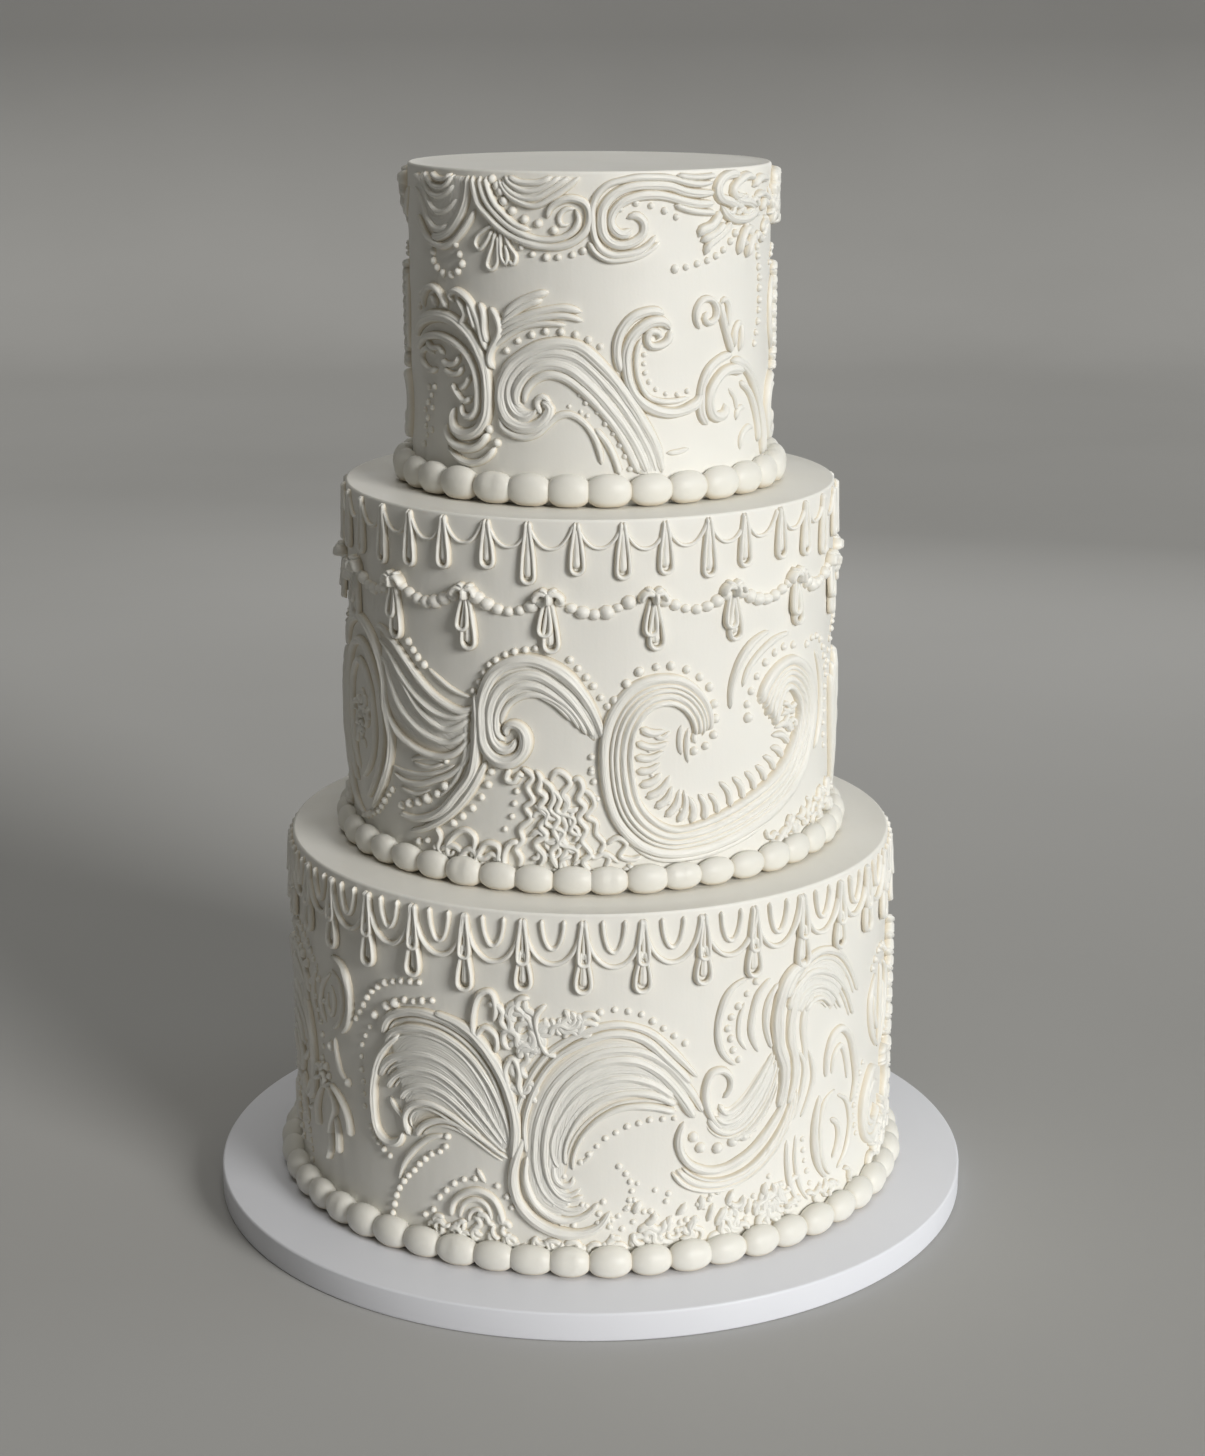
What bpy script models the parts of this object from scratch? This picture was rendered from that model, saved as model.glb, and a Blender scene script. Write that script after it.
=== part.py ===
"""A three-tier wedding cake on its white board, with piped scrolls, swags and beaded borders.

Metres, +Z up. The origin is the middle of the board's underside, and the cake's front faces -Y.
Piping is laid out on each tier's unrolled wall in millimetres: x runs to the right round the wall
from the front, z runs up from the tier's foot. The front's design is repeated on the back.
"""

import math

import bmesh
import bpy
from mathutils import Vector

MM = 0.001
REST_GAP = 0.3            # clearance between pieces that rest on each other

BOARD_RADIUS = 162.0
BOARD_THICKNESS = 12.0
BOARD_EDGE = 1.2
BOARD_SIDES = 56

# beads are those of the border round the tier's foot: how far they stand out and how tall they are
TIERS = {
    "bottom": {"radius": 127.0, "height": 150.0, "beads": 52, "bead_out": 9.5, "bead_height": 12.5},
    "middle": {"radius": 101.0, "height": 148.0, "beads": 44, "bead_out": 7.5, "bead_height": 11.5},
    "top": {"radius": 73.0, "height": 127.0, "beads": 30, "bead_out": 8.5, "bead_height": 13.0},
}
WALL_SIDES = 36
RIM_ROUND = 1.2
SINK = 1.6                # how deep the foot of the piping is sunk into the wall
RIDGE_RISE = 3.0
STATION_SPACING = 20.0    # between the cross-sections of a piped ridge
END_TAPER = 0.5           # a ridge's width at its ends, as a share of its middle
SMALLEST_EDGE = 0.02      # shorter ones, which fusing leaves, are closed up

# place along a bead as a share of its pitch, and the size of the section there
BEAD_SECTIONS = ((0.0, 0.66), (0.28, 1.0), (0.72, 1.0))
# a bead's section, as shares of how far it stands out and how tall it is
BEAD_OUTLINE = ((0.0, 0.0), (0.86, 0.0), (0.96, 0.58), (0.42, 1.0))
# place along a drop, its width and its rise, all as shares of the whole
DROP_SECTIONS = ((0.0, 0.4, 0.6), (1.0, 1.0, 1.0))

ICING = (0.86, 0.84, 0.79, 1.0)
BOARD_WHITE = (0.86, 0.86, 0.88, 1.0)


def clear_scene():
    for obj in list(bpy.data.objects):
        bpy.data.objects.remove(obj, do_unlink=True)


def material(name, colour, roughness):
    made = bpy.data.materials.new(name)
    made.use_nodes = True
    shader = made.node_tree.nodes["Principled BSDF"]
    shader.inputs["Base Color"].default_value = colour
    shader.inputs["Roughness"].default_value = roughness
    return made


def mesh_object(name, vertices, faces, look, collection=None):
    """A mesh from points in millimetres, with its faces turned outwards."""
    data = bpy.data.meshes.new(name)
    data.from_pydata([Vector(v) * MM for v in vertices], [], faces)
    mesh = bmesh.new()
    mesh.from_mesh(data)
    bmesh.ops.recalc_face_normals(mesh, faces=mesh.faces)
    mesh.to_mesh(data)
    mesh.free()
    data.materials.append(look)
    obj = bpy.data.objects.new(name, data)
    (collection or bpy.context.scene.collection).objects.link(obj)
    return obj


def tube_faces(stations, corners, closed):
    """Faces that join rows of corners into a tube, with its ends capped or joined to each other."""
    faces = []
    for i in range(stations if closed else stations - 1):
        here, there = i * corners, (i + 1) % stations * corners
        for k in range(corners):
            after = (k + 1) % corners
            faces.append((here + k, here + after, there + after, there + k))
    if not closed:
        last = (stations - 1) * corners
        faces.append(tuple(range(corners)))
        faces.append(tuple(last + k for k in reversed(range(corners))))
    return faces


def turned(name, profile, sides, look):
    """A solid turned about Z from (radius, height) points, flat above and below."""
    vertices = []
    for radius, height in profile:
        for i in range(sides):
            angle = 2 * math.pi * i / sides
            vertices.append((radius * math.sin(angle), -radius * math.cos(angle), height))
    return mesh_object(name, vertices, tube_faces(len(profile), sides, False), look)


def on_wall(tier, x, z, out):
    """The point that lies x round the wall and z up it, and stands out from it."""
    angle = x / tier["radius"]
    radius = tier["radius"] + out
    return (radius * math.sin(angle), -radius * math.cos(angle), tier["foot"] + z)


def cubic(p, q, r, s, t):
    """The value at t between q and r on a smooth curve through p, q, r and s."""
    bend = (2 * p - 5 * q + 4 * r - s) * t ** 2
    twist = (3 * q - p - 3 * r + s) * t ** 3
    return 0.5 * (2 * q + (r - p) * t + bend + twist)


def smooth(points):
    """A smooth curve through the given points, with more between those that lie far apart."""
    placed = []
    last = len(points) - 1
    for i in range(last):
        around = [points[min(max(i + k, 0), last)] for k in (-1, 0, 1, 2)]
        steps = max(1, round(math.dist(around[1], around[2]) / STATION_SPACING))
        for step in range(steps):
            placed.append(tuple(cubic(*values, step / steps) for values in zip(*around)))
    placed.append(points[last])
    return placed


def gable(tier, x, z, across, width, rise):
    """A ridge's three-cornered section: two corners sunk in the wall and the crest between them."""
    corners = []
    for side, out in ((-0.5, -SINK), (0.0, rise), (0.5, -SINK)):
        corners.append(on_wall(tier, x + across[0] * side * width, z + across[1] * side * width, out))
    return corners


def ridge(tier, points, width, look, piping, turn):
    """A piped ridge on the wall along a smooth path, smaller at both ends."""
    path = smooth(points)
    vertices = []
    last = len(path) - 1
    for i, (x, z) in enumerate(path):
        before, after = path[max(i - 1, 0)], path[min(i + 1, last)]
        length = math.dist(before, after)
        across = ((before[1] - after[1]) / length, (after[0] - before[0]) / length)
        size = END_TAPER + (1 - END_TAPER) * math.sin(math.pi * i / last)
        vertices += gable(tier, x + turn, z, across, width * size, RIDGE_RISE * size)
    mesh_object("ridge", vertices, tube_faces(len(path), 3, False), look, piping)


def garland(tier, swags, top, sag, steps, width, look, piping):
    """A string in equal swags all round the wall."""
    pitch = 2 * math.pi * tier["radius"] / swags
    vertices = []
    for i in range(swags * steps):
        share = i % steps / steps
        lean = 0.0
        if share:
            lean = math.atan(-math.pi * sag * math.cos(math.pi * share) / pitch)
        across = (-math.sin(lean), math.cos(lean))
        z = top - sag * math.sin(math.pi * share)
        vertices += gable(tier, pitch * i / steps, z, across, width, width / 2)
    mesh_object("garland", vertices, tube_faces(swags * steps, 3, True), look, piping)


def drops(tier, count, top, length, width, look, piping):
    """Pendants at equal steps round the wall, narrow above and full below."""
    for i in range(count):
        x = 2 * math.pi * tier["radius"] * i / count
        vertices = []
        for along, wide, high in DROP_SECTIONS:
            vertices += gable(tier, x, top - along * length, (1.0, 0.0), width * wide, RIDGE_RISE * high)
        mesh_object("drop", vertices, tube_faces(len(DROP_SECTIONS), 3, False), look, piping)


def fan(outer, inner, ribs, width):
    """Nested ribs, from one bounding curve to another with as many points."""
    made = []
    for k in range(ribs):
        share = k / (ribs - 1)
        rib = [tuple(a + (b - a) * share for a, b in zip(p, q)) for p, q in zip(outer, inner)]
        made.append((rib, width))
    return made


def bottom_scrolls():
    """The wing, the wave, the hook and the arches of the bottom tier, as (points, width)."""
    wing = fan([(-92, 45), (-97, 62), (-88, 88), (-69, 98), (-44, 84), (-33, 53)],
               [(-76, 50), (-80, 58), (-71, 66), (-60, 66), (-47, 60), (-37, 51)], 3, 8)
    wave = fan([(2, 28), (-12, 22), (-27, 35), (-26, 58), (-14, 84), (9, 98), (30, 87), (43, 65)],
               [(-6, 36), (-10, 33), (-14, 38), (-12, 50), (-2, 63), (14, 72), (30, 71), (43, 63)], 4, 8)
    hook = fan([(31, 40), (45, 33), (62, 35), (79, 46), (90, 62), (94, 80)],
               [(38, 60), (35, 49), (48, 41), (64, 45), (76, 57), (82, 76)], 2, 7)
    crest = [([(81, 70), (77, 92), (82, 111), (97, 119), (112, 112), (122, 95)], 8),
             ([(60, 117), (52, 100), (58, 83)], 6), ([(73, 116), (67, 98), (71, 86)], 6)]
    curls = [([(86, 42), (85, 30), (91, 18)], 6), ([(-62, 30), (-52, 14), (-41, 24), (-50, 32)], 6)]
    right_arches = [([(109, 66), (109, 79), (119, 82), (127, 62)], 7),
                    ([(102, 26), (101, 42), (112, 56), (124, 44), (118, 24)], 7)]
    left_arches = [([(-115, 111), (-108, 97), (-118, 83), (-134, 84), (-137, 98)], 7),
                   ([(-140, 58), (-132, 44), (-127, 30)], 7)]
    side_arches = [([(150, 30), (162, 62), (150, 95)], 8), ([(172, 35), (182, 66), (172, 92)], 7)]
    return wing + wave + hook + crest + curls + right_arches + left_arches + side_arches


def middle_scrolls():
    """The medallion, the drapery, the wave and the great scroll of the middle tier."""
    drape = fan([(-99, 97), (-84, 90), (-70, 77), (-50, 71)],
                [(-95, 65), (-80, 55), (-63, 51), (-50, 60)], 3, 8)
    wave = fan([(4, 65), (-1, 79), (-13, 90), (-28, 92), (-41, 81), (-44, 66), (-36, 55), (-27, 59)],
               [(-3, 66), (-9, 72), (-18, 77), (-26, 78), (-34, 74), (-37, 68), (-34, 62), (-31, 63)], 2, 8)
    scroll = fan([(46, 66), (42, 80), (28, 86), (12, 76), (7, 53), (15, 29), (37, 17),
                  (70, 24), (97, 41), (107, 64), (97, 82), (80, 83), (70, 68)],
                 [(37, 67), (35, 74), (26, 76), (18, 69), (15, 53), (22, 34), (39, 26),
                  (67, 33), (90, 48), (98, 64), (91, 74), (83, 75), (77, 69)], 2, 8)
    rim = [(-94, 62), (-98, 84), (-117, 95), (-136, 78), (-138, 50), (-120, 24), (-100, 28), (-91, 45)]
    medallion = [(rim, 8), ([(-118, 76), (-110, 58), (-118, 40)], 8), ([(124, 30), (131, 60), (124, 92)], 8)]
    stems = [([(-46, 72), (-46, 55), (-54, 38), (-68, 26), (-83, 21)], 8),
             ([(-78, 40), (-65, 41), (-53, 49)], 5)]
    crests = [([(57, 71), (62, 88), (77, 98)], 6), ([(63, 80), (74, 93), (94, 95)], 6)]
    mosses = [([(-22, 48), (-12, 40), (-6, 28)], 6), ([(-26, 34), (-15, 26), (-6, 15)], 6)]
    return drape + wave + scroll + medallion + stems + crests + mosses


def top_scrolls():
    """The rim scrolls and the rolling waves of the top tier."""
    wave = fan([(27, 17), (20, 31), (8, 47), (-8, 60), (-24, 61), (-35, 52), (-36, 39), (-29, 30), (-18, 33)],
               [(12, 17), (6, 28), (-2, 39), (-10, 49), (-18, 51), (-25, 47), (-27, 41), (-25, 37), (-21, 39)],
               2, 8)
    crest = fan([(-86, 66), (-71, 71), (-56, 66), (-45, 52), (-43, 35), (-54, 27)],
                [(-80, 58), (-70, 61), (-59, 58), (-51, 50), (-50, 41), (-55, 35)], 2, 7)
    hook = [(29, 72), (20, 77), (11, 70), (11, 52), (20, 38),
            (34, 34), (46, 42), (58, 54), (76, 48), (87, 28)]
    hooks = [(hook, 8), ([(53, 37), (55, 45), (66, 45), (76, 37)], 6)]
    rim = [([(52, 119), (36, 118), (18, 122), (4, 116), (1, 105), (12, 98), (25, 102)], 7),
           ([(50, 112), (34, 112), (18, 117), (10, 108)], 6),
           ([(-89, 119), (-76, 110), (-64, 105), (-54, 111), (-51, 123)], 8),
           ([(-48, 123), (-42, 111), (-27, 103), (-8, 104), (-3, 112), (-10, 117)], 8),
           ([(-35, 123), (-22, 116), (-8, 123)], 6)]
    leaves = [([(-35, 69), (-25, 78), (-3, 75)], 6), ([(-61, 79), (-50, 78), (-45, 68)], 5),
              ([(42, 70), (44, 79), (52, 78), (50, 71)], 5)]
    shells = [([(44, 105), (50, 108), (56, 118), (68, 122)], 7), ([(47, 98), (56, 104), (70, 108)], 6),
              ([(88, 72), (97, 90), (88, 110)], 7)]
    return wave + crest + hooks + rim + leaves + shells


def keep_outer_shell(data):
    """Fills the hollows that fusing sealed and drops loose scraps: only the largest shell stays."""
    mesh = bmesh.new()
    mesh.from_mesh(data)
    bmesh.ops.remove_doubles(mesh, verts=mesh.verts, dist=SMALLEST_EDGE * MM)
    bmesh.ops.dissolve_degenerate(mesh, edges=mesh.edges, dist=SMALLEST_EDGE * MM)
    bmesh.ops.triangulate(mesh, faces=mesh.faces)
    waiting = set(mesh.faces)
    shells = []
    while waiting:
        shell = [waiting.pop()]
        for face in shell:
            for edge in face.edges:
                for other in edge.link_faces:
                    if other in waiting:
                        waiting.remove(other)
                        shell.append(other)
        shells.append(shell)
    shells.sort(key=len)
    for shell in shells[:-1]:
        corners = {corner for face in shell for corner in face.verts}
        bmesh.ops.delete(mesh, geom=list(corners), context="VERTS")
    mesh.to_mesh(data)
    mesh.free()


def fuse(body, piping):
    """Joins every object of the piping's collection to the body, and removes them."""
    union = body.modifiers.new("piping", "BOOLEAN")
    union.operation = "UNION"
    union.operand_type = "COLLECTION"
    union.collection = piping
    union.solver = "MANIFOLD"
    bpy.context.view_layer.update()
    evaluated = body.evaluated_get(bpy.context.evaluated_depsgraph_get())
    fused = bpy.data.meshes.new_from_object(evaluated)
    keep_outer_shell(fused)
    body.modifiers.remove(union)
    body.data = fused
    for obj in list(piping.objects):
        bpy.data.objects.remove(obj, do_unlink=True)
    bpy.data.collections.remove(piping)


def bottom_strings(tier, look, piping):
    """Swags that hang from the bottom tier's rim, and the double drops between them."""
    garland(tier, 34, 146.0, 16.0, 3, 4.0, look, piping)
    drops(tier, 34, 147.5, 28.0, 8.0, look, piping)


def middle_strings(tier, look, piping):
    """The middle tier's row of drops at the rim, with a beaded garland and its drops below."""
    drops(tier, 36, 147.0, 21.0, 7.0, look, piping)
    garland(tier, 18, 119.0, 7.0, 2, 4.5, look, piping)
    drops(tier, 18, 120.0, 22.0, 8.0, look, piping)


def tier_solid(name, tier, scrolls, look):
    """One tier of cake under its icing, with its piping fused on."""
    radius, foot = tier["radius"], tier["foot"]
    rim = foot + tier["height"]
    body = turned(f"tier_{name}", [(radius, foot), (radius, rim - RIM_ROUND), (radius - RIM_ROUND, rim)],
                  WALL_SIDES, look)
    piping = bpy.data.collections.new(f"piping_{name}")
    bpy.context.scene.collection.children.link(piping)
    for turn in (0.0, math.pi * radius):
        for points, width in scrolls:
            ridge(tier, points, width, look, piping, turn)
    if name == "bottom":
        bottom_strings(tier, look, piping)
    if name == "middle":
        middle_strings(tier, look, piping)
    fuse(body, piping)
    body.data.shade_smooth()
    body.data.set_sharp_from_angle(angle=math.radians(30))


def bead_border(name, tier, look):
    """The beaded border in the corner round a tier's foot: one rope that swells at every bead."""
    vertices = []
    for bead in range(tier["beads"]):
        for along, size in BEAD_SECTIONS:
            angle = 2 * math.pi * (bead + along) / tier["beads"]
            for out, up in BEAD_OUTLINE:
                radius = tier["radius"] + REST_GAP + out * size * tier["bead_out"]
                z = tier["foot"] + up * size * tier["bead_height"]
                vertices.append((radius * math.sin(angle), -radius * math.cos(angle), z))
    stations = tier["beads"] * len(BEAD_SECTIONS)
    mesh_object(f"border_{name}", vertices, tube_faces(stations, len(BEAD_OUTLINE), True), look)


def board(look):
    """The round board under the cake, its edges softened."""
    inner = BOARD_RADIUS - BOARD_EDGE
    profile = [(inner, 0.0), (BOARD_RADIUS, BOARD_EDGE),
               (BOARD_RADIUS, BOARD_THICKNESS - BOARD_EDGE), (inner, BOARD_THICKNESS)]
    turned("board", profile, BOARD_SIDES, look)


def main():
    clear_scene()
    icing = material("icing", ICING, 0.55)
    board(material("board_white", BOARD_WHITE, 0.4))
    designs = {"bottom": bottom_scrolls(), "middle": middle_scrolls(), "top": top_scrolls()}
    below = BOARD_THICKNESS
    for name, tier in TIERS.items():
        tier["foot"] = below + REST_GAP
        tier_solid(name, tier, designs[name], icing)
        bead_border(name, tier, icing)
        below = tier["foot"] + tier["height"]


main()
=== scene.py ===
"""Looks of a three-tier wedding cake in ivory icing, with its piping, beaded borders and board.

Piping is laid out on each tier's unrolled wall in millimetres: x runs to the right round the wall
from the front, z up from the tier's foot. The front's design is repeated on the back.
A stroke is given by guide points that a smooth curve runs through, its width and how far it rises.
"""

import math

import bpy
import numpy as np
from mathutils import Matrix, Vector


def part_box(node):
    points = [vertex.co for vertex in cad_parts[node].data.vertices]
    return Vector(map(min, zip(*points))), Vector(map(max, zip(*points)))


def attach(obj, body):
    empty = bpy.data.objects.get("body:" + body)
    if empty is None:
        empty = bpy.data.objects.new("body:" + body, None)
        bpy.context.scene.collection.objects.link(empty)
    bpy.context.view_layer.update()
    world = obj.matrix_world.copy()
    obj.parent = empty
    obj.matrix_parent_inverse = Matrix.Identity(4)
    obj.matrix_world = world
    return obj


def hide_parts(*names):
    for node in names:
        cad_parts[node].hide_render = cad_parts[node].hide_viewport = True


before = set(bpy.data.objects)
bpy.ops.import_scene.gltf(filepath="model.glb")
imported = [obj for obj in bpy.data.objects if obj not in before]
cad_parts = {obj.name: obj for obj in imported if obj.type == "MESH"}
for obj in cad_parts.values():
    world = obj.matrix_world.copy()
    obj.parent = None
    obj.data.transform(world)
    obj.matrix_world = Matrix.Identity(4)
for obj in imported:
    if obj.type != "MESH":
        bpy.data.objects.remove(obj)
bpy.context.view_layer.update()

MM = 0.001
SEED = 11

# camera, fitted to the photograph's rims, in metres and degrees
CAMERA_PLACE = (0.0, -1.080, 0.497)
CAMERA_YAW = 0.275
CAMERA_PITCH = 15.3
LENS_MM = 65.1
SENSOR_MM = 36.0

# walls, borders and board
RIM_ROUND = 1.2           # rounding of a tier's top edge
RIM_GAP = 0.9             # piping stays at least this far below the rim
WALL_COLUMNS = 240
WALL_ROWS = 30
TOP_RINGS = 12
WALL_UNEVEN = 0.22        # how far the smoothed icing strays from a true cylinder
TOP_UNEVEN = 0.12         # how far a flat top dips
BEADS = {"bottom": 52, "middle": 44, "top": 30}
BEAD_ROWS = 17
BEAD_COLUMNS = 20
BEAD_SINK = 1.0           # how far the middle of a bead is moved into the wall, its outer side kept
BEAD_DENTS = (0.0, 0.0, 0.0, 0.0, 0.3, 0.55)    # depths of dents, one picked by chance for each bead
BOARD_COLUMNS = 288
BOARD_BEVEL = 1.0

# piped lines
CURVE_STEPS = 12          # between two guide points, before a curve is cut to equal steps
ROPE_STEP = 1.5           # spacing of the cross-sections along a piped line
FINE_STEP = 0.9           # the same along thin lines
SECTION_POINTS = {3.6: 13, 2.3: 7, 0.0: 5}    # on the round of a line's section, for lines at least so wide
FLUTE_DEPTH = 0.17        # grooves of the piping tip along the widest lines, as a share of their height
FOOT_DEPTH = 0.35         # how deep a piped line's foot goes into the wall
FOOT_FLARE = 1.2          # width at the foot, as a share of the line's width
RIB_RISE = 0.62           # height of a plain line, as a share of its width
TAIL_END = 0.45           # size at the end of a tail, as a share of the line's own
TANGLE_WIDTH = 2.6        # of the lines in a tangle drawn by guide points
TANGLE_RISE = 2.4
WOBBLE = 0.09             # unevenness of a line's size, smoothed by the window
WOBBLE_WINDOW = np.hanning(9) / np.hanning(9).sum()
PEARL_RINGS = ((-0.18, 1.02), (0.2, 0.98), (0.58, 0.77), (0.86, 0.4))    # height and radius, as shares
PEARL_SIDES = 10

# ribbed bands
SWATH_STEP = 1.4          # spacing of the cross-sections along a band
RIB_POINTS = 7            # across each rib
BAND_BODY = 0.42          # height of the body under the ribs, as a share of the band's rise
BAND_RIDGE = 0.72         # height of the ribs over it
PLUME_BODY = 0.39         # rise of the body under a plume's ribs, as a share of theirs
BROAD_RIB = 6.0           # a plume's ribs from this width are split nearly in half

DROPS_BOTTOM = 34
DROPS_MIDDLE = 36
BOWS_MIDDLE = 18


def smooth(points, step):
    """Points at equal steps on a smooth curve through the given ones."""
    given = np.array(points, float)
    if len(given) == 2:
        given = np.array([given[0], given.mean(0), given[1]])
    knots = np.concatenate([[0.0], np.cumsum(np.linalg.norm(np.diff(given, axis=0), axis=1) ** 0.5)])
    spans = np.diff(knots)[:, None]
    slopes = np.diff(given, axis=0) / spans
    tangents = np.empty_like(given)
    tangents[1:-1] = (slopes[:-1] * spans[1:] + slopes[1:] * spans[:-1]) / (spans[1:] + spans[:-1])
    tangents[0] = 1.5 * slopes[0] - 0.5 * tangents[1]
    tangents[-1] = 1.5 * slopes[-1] - 0.5 * tangents[-2]
    t = np.linspace(0, 1, CURVE_STEPS, endpoint=False)[:, None]
    pieces = []
    for i in range(len(given) - 1):
        h = spans[i]
        pieces.append((2 * t**3 - 3 * t**2 + 1) * given[i] + (t**3 - 2 * t**2 + t) * h * tangents[i]
                      + (3 * t**2 - 2 * t**3) * given[i + 1] + (t**3 - t**2) * h * tangents[i + 1])
    return resample(np.concatenate(pieces + [given[-1:]]), step)


def distances(path):
    """How far along a line each of its points lies."""
    return np.concatenate([[0.0], np.cumsum(np.linalg.norm(np.diff(path, axis=0), axis=1))])


def resample(dense, step):
    """The same line at equal steps of about the given length."""
    along = distances(dense)
    count = max(5, int(round(along[-1] / step)) + 1)
    wanted = np.linspace(0, along[-1], count)
    return np.stack([np.interp(wanted, along, dense[:, 0]), np.interp(wanted, along, dense[:, 1])], 1)


def sideways(path):
    """A unit step to the left of a line's course, at each of its points."""
    tangent = np.gradient(path, axis=0)
    tangent /= np.linalg.norm(tangent, axis=1)[:, None] + 1e-9
    return np.stack([-tangent[:, 1], tangent[:, 0]], 1)


def spiral(centre, start_radius, end_radius, start_turn, turns):
    """Guide points of a spiral; the turns are counted from the right, anticlockwise."""
    share = np.linspace(0, 1, max(4, int(abs(turns) * 8) + 1))
    angle = 2 * math.pi * (start_turn + turns * share)
    radius = start_radius + (end_radius - start_radius) * share
    return [(centre[0] + r * math.cos(a), centre[1] + r * math.sin(a)) for r, a in zip(radius, angle)]


def in_oval(x, z, half_width, half_height):
    """Tells whether a place is inside an oval round the given centre."""
    return lambda px, pz: ((px - x) / half_width) ** 2 + ((pz - z) / half_height) ** 2 < 1


def quads(rows, columns, closed=False):
    """Faces over a grid of vertices counted row by row, whose last column may join the first."""
    r = np.arange(rows - 1)[:, None]
    c = np.arange(columns if closed else columns - 1)[None, :]
    after = (c + 1) % columns
    corners = [r * columns + c, r * columns + after, (r + 1) * columns + after, (r + 1) * columns + c]
    return np.stack(corners, -1).reshape(-1, 4)


def tube(rows, columns):
    """Faces of a closed tube: its sides, and one face over each end."""
    ring = np.arange(columns)[None, :]
    return [quads(rows, columns, closed=True), ring[:, ::-1], (rows - 1) * columns + ring]


def about_axis(reach, angle, height):
    """Places at a distance from the cake's axis, an angle from the front and a height."""
    return np.stack(np.broadcast_arrays(reach * np.sin(angle), -reach * np.cos(angle), height), -1)


def section(width):
    """A line's cross-section from foot to foot: places to its side and their heights, as shares."""
    points = next(count for least, count in SECTION_POINTS.items() if width >= least)
    turn = np.radians(np.linspace(14, 166, points))
    crown = np.sin(turn)
    if points == max(SECTION_POINTS.values()):
        crown = crown * (1 - FLUTE_DEPTH * (0.5 - 0.5 * np.cos(8 * turn)))
    side = np.concatenate([[-0.5 * FOOT_FLARE], -0.5 * np.cos(turn), [0.5 * FOOT_FLARE]])
    return side, np.concatenate([[0.0], crown, [0.0]])


class Shell:
    """Vertices, faces and a value for each vertex that sets how much painted crease shade the icing shows
    there (none at one), gathered into one mesh.
    """

    def __init__(self):
        self.vertices, self.faces, self.relief, self.flow, self.count = [], [], [], [], 0

    def add(self, vertices, faces, relief, flow=None):
        """Flow gives each vertex its place along and across the stroke it belongs to."""
        self.vertices.append(vertices)
        self.faces.extend(f + self.count for f in faces)
        self.relief.append(relief)
        self.flow.append(np.zeros((len(vertices), 3)) if flow is None else flow)
        self.count += len(vertices)

    def build(self, name, look, slot):
        """Makes the mesh and its object, which rides on the cake."""
        made = bpy.data.meshes.new(name)
        corners = np.concatenate([f.ravel() for f in self.faces])
        sizes = np.concatenate([np.full(len(f), f.shape[1]) for f in self.faces])
        made.vertices.add(self.count)
        made.vertices.foreach_set("co", (np.concatenate(self.vertices) * MM).astype(np.float32).ravel())
        made.loops.add(len(corners))
        made.loops.foreach_set("vertex_index", corners.astype(np.int32))
        made.polygons.add(len(sizes))
        starts = np.concatenate([[0], np.cumsum(sizes)[:-1]])
        made.polygons.foreach_set("loop_start", starts.astype(np.int32))
        made.update(calc_edges=True)
        made.validate()
        # each vertex's share of the icing's own colour against its painted crease shade
        relief = made.attributes.new("relief", "FLOAT", "POINT")
        relief.data.foreach_set("value", np.concatenate(self.relief).astype(np.float32))
        flow = made.attributes.new("flow", "FLOAT_VECTOR", "POINT")
        flow.data.foreach_set("vector", np.concatenate(self.flow).astype(np.float32).ravel())
        made.shade_smooth()
        made.materials.append(look)
        piece = bpy.data.objects.new(name, made)
        bpy.context.scene.collection.objects.link(piece)
        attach(piece, "root")
        return piece


class Wall:
    """A tier's wall as the frame gives it."""

    def __init__(self, node):
        low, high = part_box(node)
        self.foot = low.z / MM
        self.height = high.z / MM - self.foot
        top = [v.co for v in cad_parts[node].data.vertices if v.co.z > high.z - 0.05 * MM]
        self.radius = max(math.hypot(p.x, p.y) for p in top) / MM + RIM_ROUND
        self.girth = 2 * math.pi * self.radius

    def place(self, x, z, out):
        return about_axis(self.radius + out, x / self.radius, self.foot + z)


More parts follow.
